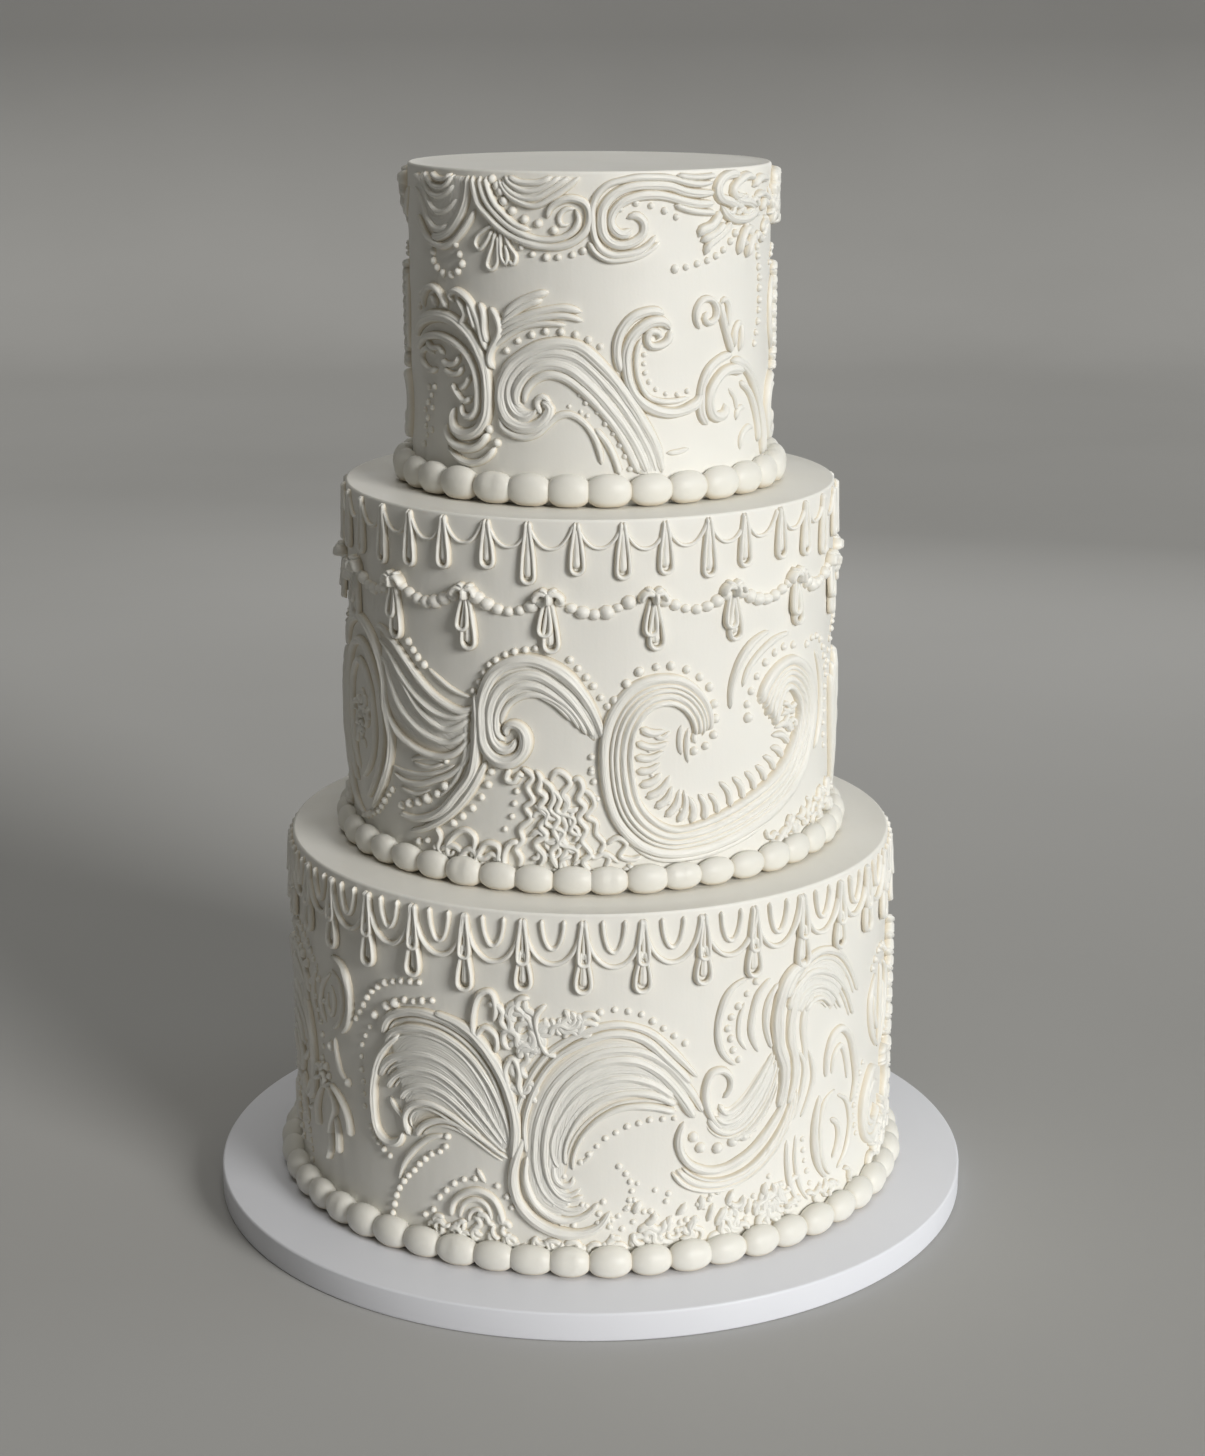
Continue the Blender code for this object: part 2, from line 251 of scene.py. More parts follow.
class Piping:
    """Everything piped on one wall: scrolls, strings, and pearls."""

    def __init__(self, wall, seed):
        self.wall = wall
        self.scrolls, self.strings, self.dots = Shell(), Shell(), Shell()
        self.random = np.random.default_rng(seed)
        self.turn, self.hand = 0.0, 1

    def put(self, shell, x, z, out, faces, relief, flow=None):
        """Sets a grid of points on the wall, turned round it and mirrored as asked."""
        if self.hand < 0:
            faces = [f[:, ::-1] for f in faces]
        z = np.minimum(z, self.wall.height - RIM_GAP)
        places = self.wall.place(self.turn + self.hand * x, z, out)
        shell.add(places.reshape(-1, 3), faces, relief.ravel(), flow)

    def flow(self, along, across):
        """Places along and across a stroke, and a third number that sets it apart from the rest."""
        along, across = np.broadcast_arrays(along, across)
        apart = np.full(along.shape, 9.0 * (self.scrolls.count % 97))
        return np.stack([along, across, apart], -1).reshape(-1, 3)

    def taper(self, along, width, tails):
        """A line's size at each point: less in its tails, rounded off at its tips, and a little uneven."""
        total = along[-1]
        size = np.ones(len(along))
        for gone, tail in ((along, tails[0]), (total - along, tails[1])):
            if tail:
                size *= TAIL_END + (1 - TAIL_END) * np.clip(gone / (tail * total), 0, 1) ** 0.7
            tip = np.clip(gone / (0.5 * width), 0, 1)
            size *= np.sqrt(np.clip(1 - (1 - tip) ** 2, 0.06, 1))
        wobble = np.convolve(self.random.normal(0, 1, len(along)), WOBBLE_WINDOW, "same")[:len(along)]
        return size * (1 + WOBBLE * wobble)

    def rope(self, shell, path, width, rise, tails, lift=0.0):
        """A round-topped line with a flared foot sunk in the wall, thinner towards its tails.

        Tails are shares of its length. Lift is how far it stands off the wall, in one value or one a point.
        """
        along = distances(path)
        size = self.taper(along, width, tails)
        side, high = section(width)
        offset = side[None, :] * (width * size)[:, None]
        out = high[None, :] * (rise * size ** 0.6)[:, None]
        out[:, 0] = out[:, -1] = -FOOT_DEPTH
        out += np.broadcast_to(lift, len(path))[:, None]
        across = sideways(path)
        x = path[:, :1] + across[:, :1] * offset
        z = path[:, 1:] + across[:, 1:] * offset
        faces = [f[:, ::-1] for f in tube(len(path), len(side))]
        # painted shade along each line's foot: the crease colour follows the section's height, full at the
        # foot, gone at the crown
        self.put(shell, x, z, out, faces, np.broadcast_to(high, x.shape),
                 self.flow(along[:, None], 1.5 * width * side[None, :]))

    def rib(self, points, width, rise=None, tails=(0.3, 0.3)):
        """One scroll line."""
        self.rope(self.scrolls, smooth(points, ROPE_STEP), width, rise or RIB_RISE * width, tails)

    def lines(self, rise, tails, *strokes):
        """Scroll lines that share a rise and tails, each given as its width and points."""
        for width, points in strokes:
            self.rib(points, width, rise, tails)

    def raised_lines(self, tails, *strokes):
        """Scroll lines that share their tails, each given as its width, rise and points."""
        for width, rise, points in strokes:
            self.rib(points, width, rise, tails)

    def string(self, points, width, rise, tails=(0.0, 0.0), step=FINE_STEP):
        """One thin line of the strings' piece."""
        self.rope(self.strings, smooth(points, step), width, rise, tails)

    def plume(self, ribs, outer, inner, rise):
        """Tapering double ribs, given as their width and points from tip to root, over a low body."""
        self.swath(outer, inner, 1, PLUME_BODY * rise, stagger=0.0)
        for width, points in ribs:
            path = smooth(points, ROPE_STEP)
            left = width * sideways(path)
            tall = rise * self.random.uniform(0.85, 1.15)
            if width < BROAD_RIB:
                pair = ((path + 0.1 * left, 0.8, 1.0, 0.04), ((path - 0.48 * left)[2:-1], 0.42, 0.66, 0.3))
            else:
                pair = ((path + 0.23 * left, 0.56, 1.0, 0.04), (path - 0.25 * left, 0.5, 0.8, 0.12))
            for line, broad, high, tail in pair:
                self.rope(self.scrolls, line, broad * width, high * tall, (tail, 0.95))

    def swath(self, outer, inner, ribs, rise, first=1.0, ends=(True, True), stagger=2.5):
        """A raised band of uneven ribs between two guide lines.

        First widens the first rib, ends says which ends are rounded off, and stagger sets their ribs apart.
        """
        a, b = (smooth(line, 0.4) for line in (outer, inner))
        length = max(8, int(0.4 * max(len(a), len(b)) / SWATH_STEP))
        a, b = (line[np.linspace(0, len(line) - 1, length).round().astype(int)] for line in (a, b))
        shares = self.random.uniform(0.68, 1.4, ribs)
        shares[0] *= first
        bounds = np.concatenate([[0.0], np.cumsum(shares) / shares.sum()])
        within = np.linspace(0, 1, RIB_POINTS)[:-1]
        t = np.concatenate([bounds[k] + (bounds[k + 1] - bounds[k]) * within for k in range(ribs)] + [[1.0]])
        phase = np.concatenate([k + within for k in range(ribs)] + [[ribs]])
        crest = np.abs(np.sin(math.pi * phase)) ** 0.6
        rib_of = np.minimum(phase.astype(int), ribs - 1)
        tall = self.random.uniform(0.72, 1.18, ribs)[rib_of]
        late = self.random.uniform(0, stagger, (2, ribs))[:, rib_of]
        along = np.linspace(0, 1, length) * (length - 1) * SWATH_STEP
        slow = np.sin(along[:, None] / self.random.uniform(7, 13, ribs)[rib_of][None, :]
                      + self.random.uniform(0, 6, ribs)[rib_of][None, :])
        spread = np.linalg.norm(a - b, axis=1)
        body = np.minimum(rise * BAND_BODY, 0.32 * spread)[:, None]
        ridge = np.minimum(rise * BAND_RIDGE, 0.55 * spread / ribs)[:, None] * tall * (1 + 0.14 * slow)
        fade = np.ones((length, len(t)))
        for gone, wanted, lag in ((along, ends[0], late[0]), (along[::-1], ends[1], late[1])):
            if wanted:
                near = (gone[:, None] - lag[None, :] - 2.2 * (1 - crest)[None, :]) / 3.0
                fade *= np.sqrt(np.clip(1 - (1 - np.clip(near, 0, 1)) ** 2, 0, 1))
        shoulder = np.clip(np.minimum(t, 1 - t) * spread[:, None] / 0.9, 0, 1) ** 0.6
        out = (body * shoulder + ridge * crest[None, :]) * fade
        out -= FOOT_DEPTH * (1 - np.clip(shoulder * fade * 3, 0, 1))
        x = a[:, :1] + (b[:, :1] - a[:, :1]) * t[None, :]
        z = a[:, 1:] + (b[:, 1:] - a[:, 1:]) * t[None, :]
        faces = quads(length, len(t))
        clockwise = np.cross((a[length // 2 + 1] - a[length // 2]), (b - a)[length // 2]) > 0
        # painted shade in the grooves between ribs and along the band's edges and ends
        relief = np.broadcast_to(0.1 + 0.9 * crest, x.shape) * np.clip(shoulder * fade, 0.1, 1)
        self.put(self.scrolls, x, z, out, [faces[:, ::-1] if clockwise else faces], relief,
                 self.flow(along[:, None], 1.3 * t[None, :] * spread[:, None]))

    def pearls(self, places, size, stretch=1.0):
        """Dots of icing, each with a slight tip; stretch draws them out sideways."""
        turn = np.arange(PEARL_SIDES) * 2 * math.pi / PEARL_SIDES
        dx = np.concatenate([r * np.cos(turn) for _, r in PEARL_RINGS] + [[0.0]])
        dz = np.concatenate([r * np.sin(turn) for _, r in PEARL_RINGS] + [[0.0]])
        up = np.concatenate([np.full(PEARL_SIDES, h) for h, _ in PEARL_RINGS] + [[1.0]])
        last_ring = (len(PEARL_RINGS) - 1) * PEARL_SIDES
        ring = np.arange(PEARL_SIDES)
        tip = np.full(PEARL_SIDES, len(dx) - 1)
        cap = np.stack([last_ring + ring, last_ring + (ring + 1) % PEARL_SIDES, tip], 1)
        faces = [quads(len(PEARL_RINGS), PEARL_SIDES, closed=True), cap]
        for x, z in places:
            radius = 0.5 * size * self.random.uniform(0.9, 1.1)
            lean = self.random.normal(0, 0.08, 2) * radius
            px = x + dx * radius * stretch + lean[0] * up
            pz = z + dz * radius * self.random.uniform(0.93, 1.07) + lean[1] * up
            # painted shade round each pearl's foot against the wall, less of it higher up
            self.put(self.dots, px, pz, up * radius * 1.15, faces, np.clip(up + 0.15, 0, 1))

    def pearl_line(self, points, size, pitch):
        path = smooth(points, pitch)
        self.pearls(path + self.random.normal(0, 0.18, path.shape), size)

    def loop(self, x, top, bottom, width, thick, lean, lift):
        """A string hung in a long narrow loop, its strands almost joined above, its foot off the wall."""
        half = 0.5 * width
        down = np.linspace(0, 1, 9)[:, None]
        half_at = 0.35 * thick + (half - 0.35 * thick) * np.sin(0.5 * math.pi * down) ** 1.3
        level = top + (bottom + half - top) * down
        end = np.radians(np.linspace(0, -180, 13))[1:-1, None]
        left = np.hstack([x - half_at + lean * down, level])
        right = np.hstack([x + half_at + lean * down, level])
        round_end = np.hstack([x + lean - half * np.cos(end), bottom + half + half * np.sin(end)])
        path = resample(np.concatenate([left, round_end, right[::-1]]), 1.0)
        fallen = np.clip((top - path[:, 1]) / (top - bottom), 0, 1)
        self.rope(self.strings, path, thick, 1.15 * thick, (0.0, 0.0), lift * fallen)

    def drop(self, x, top, bottom, width, rise):
        """A drop of icing inside a loop, wider towards its foot."""
        self.string([(x, top), (x + 0.1, 0.5 * (top + bottom)), (x, bottom)], width, rise, (0.95, 0.0))

    def garland(self, left, right, top, sag, thick, deep=False):
        """A string hung between two points at one height, in a shallow curve or a deep U."""
        across = -np.cos(np.linspace(0, math.pi, 31))
        low = sag * self.random.uniform(0.95, 1.05)
        fall = np.sqrt(1 - across ** 2) if deep else 1 - np.abs(across) ** 2.3
        path = np.stack([0.5 * (left + right) + 0.5 * (right - left) * across, top - low * fall], 1)
        self.rope(self.strings, resample(path, FINE_STEP), thick, 1.1 * thick, (0.0, 0.0))

    def bow(self, x, z, size):
        """A draped knot of curls and blobs, as wide as the size, that stands well off the wall."""
        def stroke(points, width, rise, tail):
            places = [(x + size * px, z + size * pz) for px, pz in points]
            self.string(places, width * size, rise * size, (0.0, tail), 0.8)
        for hand in (-1, 1):
            tip = self.random.uniform(0.40, 0.52)
            stroke([(-hand * 0.06, 0.02), (hand * 0.28, 0.14), (hand * tip, -0.06), (hand * 0.42, -0.24)],
                   0.26, 0.44, 0.2)
            stroke([(0, 0.08), (hand * 0.17, 0.27), (hand * 0.34, 0.22)], 0.17, 0.36, 0.2)
        stroke([(0, 0.2), (0.05, -0.05), (0, -0.3)], 0.3, 0.56, 0.1)

    def teeth(self, points, pitch, length, width):
        """Short hooked strokes rooted along a line, pointing to its left."""
        roots = smooth(points, pitch)
        for root, away in zip(roots, sideways(roots)):
            ahead = np.array([away[1], -away[0]])
            reach = length * self.random.uniform(0.8, 1.15)
            bent, tip = 0.5 * away + 0.10 * ahead, away - 0.12 * ahead
            self.rib([root, root + reach * bent, root + reach * tip], width, tails=(0.0, 0.5))

    def scatter(self, count, box, stroke):
        """Tries a stroke at chance places in a box until enough of them are made."""
        made = tried = 0
        while made < count and tried < 60 * count:
            tried += 1
            at = np.array([self.random.uniform(box[0], box[2]), self.random.uniform(box[1], box[3])])
            made += stroke(at)

    def squiggles(self, inside, box, count, thick, stride=2.5):
        """Short curly lines scattered where inside says, crossing each other."""
        def stroke(at):
            heading = self.random.uniform(0, 2 * math.pi)
            bend = self.random.choice([-1, 1]) * self.random.uniform(0.7, 1.25)
            points = [at]
            for step in range(self.random.integers(3, 6)):
                heading += bend
                if step == 2:
                    bend = -bend
                points.append(points[-1] + stride * np.array([math.cos(heading), math.sin(heading)]))
            fits = all(inside(*p) for p in points)
            if fits:
                self.rope(self.scrolls, smooth(points, FINE_STEP), thick * self.random.uniform(0.8, 1.2),
                          self.random.uniform(1.4, 2.4), (0.1, 0.1))
            return fits
        self.scatter(count, box, stroke)

    def strands(self, inside, box, count, thick, slant, tall=1.0):
        """Long wavy lines that wander along one slant, in degrees, and cross each other."""
        def stroke(at):
            along = math.radians(slant) + self.random.normal(0, 0.3)
            side = self.random.choice([-1, 1])
            points = [at]
            for _ in range(self.random.integers(6, 12)):
                heading = along + side * self.random.uniform(0.45, 1.2)
                side = -side
                at = at + self.random.uniform(3.4, 5.6) * np.array([math.cos(heading), math.sin(heading)])
                if not inside(*at):
                    break
                points.append(at)
            fits = inside(*points[0]) and len(points) > 3
            if fits:
                self.rope(self.scrolls, smooth(points, 1.0), thick * self.random.uniform(0.85, 1.2),
                          tall * self.random.uniform(1.8, 2.8), (0.08, 0.08))
            return fits
        self.scatter(count, box, stroke)

    def braid(self, x, low, high, size):
        """An upright plait of short crossing strokes."""
        hand = 1
        for z in np.arange(low, high, 0.62 * size):
            reach = self.random.uniform(0.42, 0.62) * size
            stroke = smooth([(x - hand * 0.5 * size, z), (x + hand * reach, z + 0.8 * size)], FINE_STEP)
            self.rope(self.scrolls, stroke, 0.62 * size, 0.7 * size, (0.1, 0.3))
            hand = -hand

    def wiggle(self, points):
        """One line of a tangle, through guide points."""
        jitter = self.random.normal(0, 0.35, (len(points), 2))
        path = smooth(np.array(points) + jitter, 1.0)
        self.rope(self.scrolls, path, TANGLE_WIDTH * self.random.uniform(0.85, 1.15),
                  TANGLE_RISE * self.random.uniform(0.75, 1.2), (0.08, 0.08))

    def build_scrolls(self, name, look):
        """Makes one piece of the scrolls so far and starts afresh."""
        self.scrolls.build(f"scrolls_{name}", look, "icing")
        self.scrolls = Shell()

    def build(self, name, look):
        """Makes the pearls' piece and the strings'."""
        self.dots.build(f"pearls_{name}", look, "icing")
        self.strings.build(f"strings_{name}", look, "icing")


def wing(p):
    """A feathered wing: ribs from tips on the left to one root, held by a spine and a big hook."""
    p.plume([
        (5.4, [(-90, 89), (-86, 97), (-75, 101.5), (-62, 101.5), (-49, 96), (-38, 84), (-32, 68),
            (-30, 52)]),
        (5.0, [(-88, 83), (-85, 90), (-76, 94.5), (-62, 95), (-50, 89), (-41, 78), (-34, 62), (-32, 51)]),
        (5.2, [(-92, 70), (-88, 77), (-80, 82), (-68, 84.5), (-58, 82), (-47, 73), (-38, 60), (-33, 52)]),
        (4.8, [(-88, 66), (-83, 73), (-74, 77.5), (-64, 78), (-54, 73), (-44, 63), (-35, 52)]),
        (4.6, [(-81, 63), (-77, 68.5), (-68, 71.5), (-59, 69.5), (-48, 61.5), (-40, 54), (-34, 49)]),
        (4.4, [(-76, 49), (-78.5, 56), (-75, 62), (-67, 64.5), (-57, 61.5), (-47, 55.5), (-37, 49)]),
        (4.0, [(-73.5, 49), (-69, 55), (-60, 58.5), (-50, 56.5), (-40, 50.5), (-33, 46.5)])],
        [(-32, 52), (-33, 70), (-40, 86), (-50, 96), (-62, 101), (-77, 100), (-88, 90)],
        [(-35, 49), (-41, 51), (-50, 56.5), (-60, 58), (-68, 56), (-73, 51), (-76, 50)], 2.1)
    p.rib([(-81, 91), (-90, 82), (-95, 70), (-96, 58), (-94, 47), (-88, 43), (-82, 45), (-80, 50)], 3.8, 3.0,
        (0.2, 0.1))
    p.rib([(-87, 63), (-84, 59), (-79, 55)], 2.4)
    p.rib([(-64, 104), (-49, 99.5), (-39, 89), (-32, 74), (-29.5, 60), (-31, 47)], 4.8, 3.2, (0.3, 0.1))
    p.rib([(-60, 52.5), (-67, 50), (-74, 44), (-80, 36), (-83, 28)], 2.8, tails=(0.2, 0.3))
    p.pearl_line([(-59, 52), (-60, 47), (-68, 42), (-76, 33), (-83, 24), (-87, 12)], 2.9, 4.3)
    p.pearl_line([(-71, 115), (-84, 113), (-95, 107), (-102, 98), (-107, 91)], 3.0, 4.6)
    p.pearl_line([(-65, 108.5), (-76, 106.5), (-83, 104.5)], 3.0, 4.6)
    p.pearls([(-83, 104), (-88, 101.5), (-95, 96)], 4.4)
    p.pearl_line([(-98, 90), (-102, 83), (-104, 74), (-103, 64), (-102, 54)], 2.5, 5.0)
    p.pearl_line([(-99, 46), (-94, 40.5), (-88, 37)], 2.8, 3.8)


def wave(p):
    """A breaking wave: broad outer ribs, finer inner ones, and a curl at its foot."""
    p.plume([
        (7.4, [(41, 79), (32, 89.5), (21, 100), (9, 103), (-4, 99), (-15, 91.5), (-23, 79), (-27.5, 64),
            (-27, 50)]),
        (8.6, [(43, 64), (38, 73), (29, 84.5), (19, 91), (8, 92), (-2, 88.5), (-12, 79), (-18, 66),
            (-20, 54), (-19.5, 43), (-16, 34), (-9, 29), (-2, 31)]),
        (4.8, [(33, 73), (24, 80), (14, 83), (4, 81.5), (-5, 76), (-12, 66), (-15.5, 56), (-15, 48),
            (-12.5, 44)]),
        (4.4, [(34, 70), (24, 75.5), (12, 76.5), (2, 73), (-5, 66), (-10, 55), (-10.5, 46)]),
        (4.2, [(34, 67), (22, 70.5), (11, 70), (2, 65), (-4, 58), (-7, 50), (-7.5, 44)])],
        [(39, 76), (30, 89), (19, 99), (8, 102), (-6, 97), (-18, 86), (-26, 68), (-28, 50), (-28, 38),
        (-24, 26), (-13, 20)],
        [(40, 67), (32, 69), (22, 71), (11, 70), (2, 65), (-4, 58), (-7, 50), (-8, 45), (-9, 41), (-8, 36),
        (-6, 32)], 2.8)
    p.rib([(-26, 57), (-30.5, 43), (-29.5, 31), (-23, 22), (-13, 17), (-4, 16.5), (3, 19.5), (7.5, 26)], 5.0,
        3.2, (0.25, 0.3))
    p.rib([(-25, 49), (-25.5, 38), (-21, 28), (-12, 22.5), (-3, 24), (3, 30)], 3.4, 2.8)
    p.rib([(-15, 27), (-8, 25), (-1, 28)], 2.4)
    p.rib([(-14.5, 46), (-14, 40), (-11, 37), (-7.5, 38), (-7, 41)], 3.0)
    p.rib([(-18, 40), (-14, 34.5), (-8, 33), (-4, 36)], 2.6)
    p.pearls([(-10.5, 41)], 2.6)
    p.rib([(-5, 46), (-2, 48), (1, 52)], 1.8)
    p.pearl_line([(-4, 47), (3, 54.5), (11, 60.5), (22, 64), (33, 64)], 2.6, 4.6)
    p.pearl_line([(4, 110), (10, 111), (16.5, 109.5), (22.5, 107), (29, 101.5), (37, 95)], 3.0, 5.4)
    p.pearl_line([(11, 45), (15, 40), (16, 34), (13, 26), (8, 22.5), (3, 21)], 2.6, 3.9)
    p.pearls([(18.5, 37.5), (25.5, 34), (31, 32)], 2.4)


def lacework(p):
    """The tangle of thick squiggles between the wing and the wave, and the low ones along the foot."""
    p.rib([(-46, 95), (-46.5, 106), (-43.5, 115), (-39, 116.5), (-37, 110), (-38.5, 104)], 2.8, 2.6,
        (0.1, 0.1))
    p.rib([(-46, 96), (-41.5, 101.5), (-37, 98), (-37.5, 91)], 2.6, 2.4, (0.1, 0.1))
    p.rib([(-17, 113), (-21, 108), (-20, 99), (-17, 93), (-12, 92)], 2.6, 2.4, (0.1, 0.1))
    p.rib([(-32, 77), (-33.5, 85), (-30.5, 90), (-28, 85), (-28, 78), (-25.5, 73)], 2.6, 2.4, (0.1, 0.1))
    p.squiggles(in_oval(-29, 103, 16, 14), (-45, 89, -13, 117), 16, 3.4, 3.8)
    p.squiggles(in_oval(-8, 105, 14, 8), (-21, 97, 6, 113), 9, 3.0, 3.4)
    p.squiggles(lambda x, z: abs(x + 26) < 7, (-33, 74, -19, 96), 8, 3.0, 3.2)
    p.squiggles(lambda x, z: z < 15 + 0.16 * max(x, 0), (-66, 9, 86, 29), 64, 2.8, 2.8)
    p.squiggles(lambda x, z: z < 24 and x < -30, (-70, 9, -28, 24), 14, 2.5)
    for x in np.arange(18, 86, 4.3):
        top = 17 + 13 * p.random.uniform(0.1, 1.0) ** 0.7
        lean = p.random.uniform(-1.0, 3.6)
        low = top - p.random.uniform(5, 8)
        p.rib([(x + lean, top), (x + 0.6 * lean + p.random.uniform(-1.2, 1.2), 0.5 * (top + low)),
            (x - 0.4 * lean, low)], p.random.uniform(2.8, 4.0), 2.3, (0.05, 0.3))
    p.pearls([(x + p.random.uniform(-1.5, 1.5), p.random.uniform(15, 31)) for x in np.arange(-22, 86, 2.1)],
        2.6)


def hooks(p):
    """The right of the front: a shell of ribs over two long hooks, arcs with pearls, and arches."""
    p.rib([(64, 118), (57, 115), (52.5, 107), (51, 98), (53, 89), (59, 82.5)], 3.2)
    p.rib([(63, 108), (60.5, 101), (60.5, 94), (64, 88)], 2.4)
    p.pearls([(68, 116), (64, 111.5), (60, 107), (57, 103), (55.5, 98.5), (57, 94), (58, 89), (60.5, 84.5)],
        3.2)
    p.rib([(75, 116), (69, 110), (66.5, 102), (66, 95), (69.5, 86)], 3.2)
    p.rib([(79, 113), (74, 106), (73, 97), (76, 86)], 3.0)
    p.rib([(94, 118.5), (85, 115.5), (80, 107), (78.5, 97), (79.5, 86), (82.5, 77), (82, 68), (79.5, 60)],
        5.4, 3.6, (0.2, 0.25))
    p.rib([(97, 113), (90.5, 108), (86.5, 99), (86, 88), (88.5, 78), (88, 68), (85, 60)], 4.4, 2.6,
        (0.2, 0.25))
    p.rib([(99, 104), (94.5, 99), (93, 91), (94, 82), (94.5, 74)], 3.8, 1.9, (0.3, 0.4))
    p.plume([
        (5.4, [(84, 105), (90, 115), (101, 120), (113, 117), (123, 108), (131, 95)]),
        (4.6, [(85, 100), (89, 108), (97, 112.5), (109, 109), (119, 100), (127, 86)]),
        (3.6, [(89, 98), (93, 104.5), (100, 106), (108.5, 102.5), (117, 92)]),
        (3.0, [(93, 97), (97, 100.5), (103, 100.5), (109, 95)])],
        [(84, 104), (90, 114), (101, 119), (113, 116), (124, 105)],
        [(94, 95), (97, 99), (102, 99), (106, 96), (109, 92)], 2.2)
    p.rib([(53.5, 69.5), (56.5, 73), (56.5, 78), (53, 81.5), (48.5, 81), (46, 76), (46, 69), (49, 61.5),
        (53, 56.5)], 3.2, 2.8)
    p.plume([
        (3.4, [(51.5, 67), (55, 62.5), (62, 65.5), (69.5, 74), (77, 84)]),
        (3.4, [(50, 62), (54.5, 58.5), (61, 60), (67, 66), (73, 74.5), (78, 83)]),
        (3.6, [(47, 62), (50, 57), (55, 54), (62, 55), (69.5, 61.5), (75.5, 70.5), (79, 80)]),
        (3.0, [(57, 50.5), (65, 53), (73, 60.5), (79, 72)])],
        [(52, 68), (56, 66), (62, 70), (69, 78), (76, 85)],
        [(50, 56), (56, 52.5), (65, 54), (74, 63), (79, 74)], 2.2)
    p.pearl_line([(66, 50.5), (71, 56), (75, 62)], 2.2, 3.4)
    p.rib([(37, 62), (35, 56), (35.5, 50), (39, 44), (46, 40), (54, 39.5), (62, 42), (70, 47), (77, 54),
        (82, 61), (84, 70)], 3.6, 3.0, (0.1, 0.3))
    p.pearls([(41, 55), (44, 50), (51.5, 48.5), (58, 50), (63, 51.5)], 4.6)
    p.swath([(31, 41), (36, 34.5), (44, 30.5), (55, 29.5), (66, 32), (76, 38), (84, 47), (89, 57),
        (90.5, 66)],
        [(37, 43), (42, 39), (48, 36.5), (56, 36), (65, 38.5), (73, 44), (80, 51.5), (84.5, 59), (87, 68)],
        3, 2.4)
    p.rib([(90, 82), (94, 74), (93, 65), (88, 52)], 2.8)
    p.rib([(96.5, 80), (99.5, 68), (97, 60), (92.5, 52)], 2.8)
    p.rib([(107.5, 65), (108, 75), (112, 82), (118, 83), (125, 77), (129, 67), (131, 56), (128, 47)], 3.4,
        2.6)
    p.rib([(112, 65), (113.5, 73), (118, 75.5), (122, 69), (124, 59)], 2.6)
    p.rib([(104, 58), (101, 48), (101, 37), (104, 27), (109.5, 20)], 3.4, 2.6)
    p.rib([(115, 57), (108, 54.5), (105, 46), (105, 36), (108, 26), (113, 20)], 2.8)
    p.rib([(117, 54), (124, 49), (127.5, 39), (125, 28), (118, 21)], 2.8)
    p.rib([(112, 45), (117, 41), (118, 34), (114, 27)], 3.2)
    p.rib([(85, 44), (85.5, 33), (87.5, 24), (92, 15)], 2.8)
    p.rib([(90, 45), (90, 33), (93, 22), (98, 14)], 2.4)
    p.pearls([(94, 42), (94.5, 37), (95.5, 32), (97, 27), (99, 21)], 2.5)
    p.squiggles(lambda x, z: z < 21, (100, 9, 136, 21), 9, 1.9)


def bottom_left(p):
    """The left edge of the front: nested ovals, a stroke and a spray of strands."""
    p.rib([(-124, 113), (-115, 111.5), (-110.5, 104), (-109.5, 95), (-112, 86.5), (-117.5, 81.5)], 3.4, 2.6)
    p.rib([(-124, 107), (-117.5, 102), (-116, 94), (-119, 86), (-125, 81)], 2.8)
    p.rib([(-125, 105), (-132, 98), (-134, 89), (-130, 82)], 2.8)
    p.rib([(-125, 100), (-122, 94), (-124.5, 87), (-128, 90), (-127.5, 96)], 2.4)
    p.rib([(-138, 105), (-142, 93), (-138, 80)], 2.8)
    p.rib([(-122.5, 78), (-121, 70.5), (-118.5, 64.5), (-113, 60.5)], 2.8)
    p.pearls([(-113, 61), (-126, 73)], 4.0)
    p.lines(2.8, (0.5, 0.0),
        (3.0, [(-134, 53), (-140, 42), (-139, 33)]),
        (2.8, [(-131, 54), (-123, 48), (-126, 40), (-128, 33)]),
        (3.4, [(-127, 56), (-118, 52), (-113, 46), (-111.5, 38)]),
        (3.6, [(-123, 43), (-121, 36), (-121, 27)]),
        (2.8, [(-129, 39), (-127, 29), (-131, 21)]),
        (3.0, [(-136, 56), (-146, 50), (-149, 41)]))
    p.pearls([(-133, 57), (-129, 58.5), (-136, 60), (-131, 62)], 3.4)
    p.squiggles(in_oval(-133, 58, 8, 7), (-141, 51, -125, 65), 4, 2.2)


def nested_arcs(p):
    """Half rings and pearls over the foot, below the wing."""
    p.rib([(-57.5, 18), (-56, 25), (-50.5, 30), (-45, 31.5), (-39.5, 29.5), (-36.5, 25), (-35, 18)], 3.0,
        2.4, (0.1, 0.1))
    p.rib([(-54, 18), (-51.5, 25), (-46.5, 27.5), (-42, 25.5), (-40, 19)], 2.6)
    p.rib([(-50, 17), (-48.5, 22), (-45, 23), (-43.5, 18)], 2.4)
    p.rib([(-46, 41), (-42.5, 35)], 2.2)
    p.pearl_line([(-63, 25), (-58.5, 30.5), (-53, 34.5), (-47, 36)], 2.8, 4.6)
    p.pearls([(-37.5, 34.5), (-33.5, 30.5), (-31.5, 26), (-66, 19), (-70, 16)], 2.8)


def bottom_design(p):
    """The bottom tier's front: the wing, the wave, the hooks and what lies round them."""
    bottom_left(p)
    wing(p)
    nested_arcs(p)
    wave(p)
    lacework(p)
    hooks(p)
    side_motif(p, 161, 0.9)
    front = p.turn
    p.turn, p.hand = front + 161, -1
    wing(p)
    nested_arcs(p)
    p.turn, p.hand = front, 1


def moved(points, x, hand=1, scale=1.0, foot=0.0):
    """Guide points set out from x to the right, or to the left if the hand is negative."""
    return [(x + hand * scale * px, foot + scale * pz) for px, pz in points]


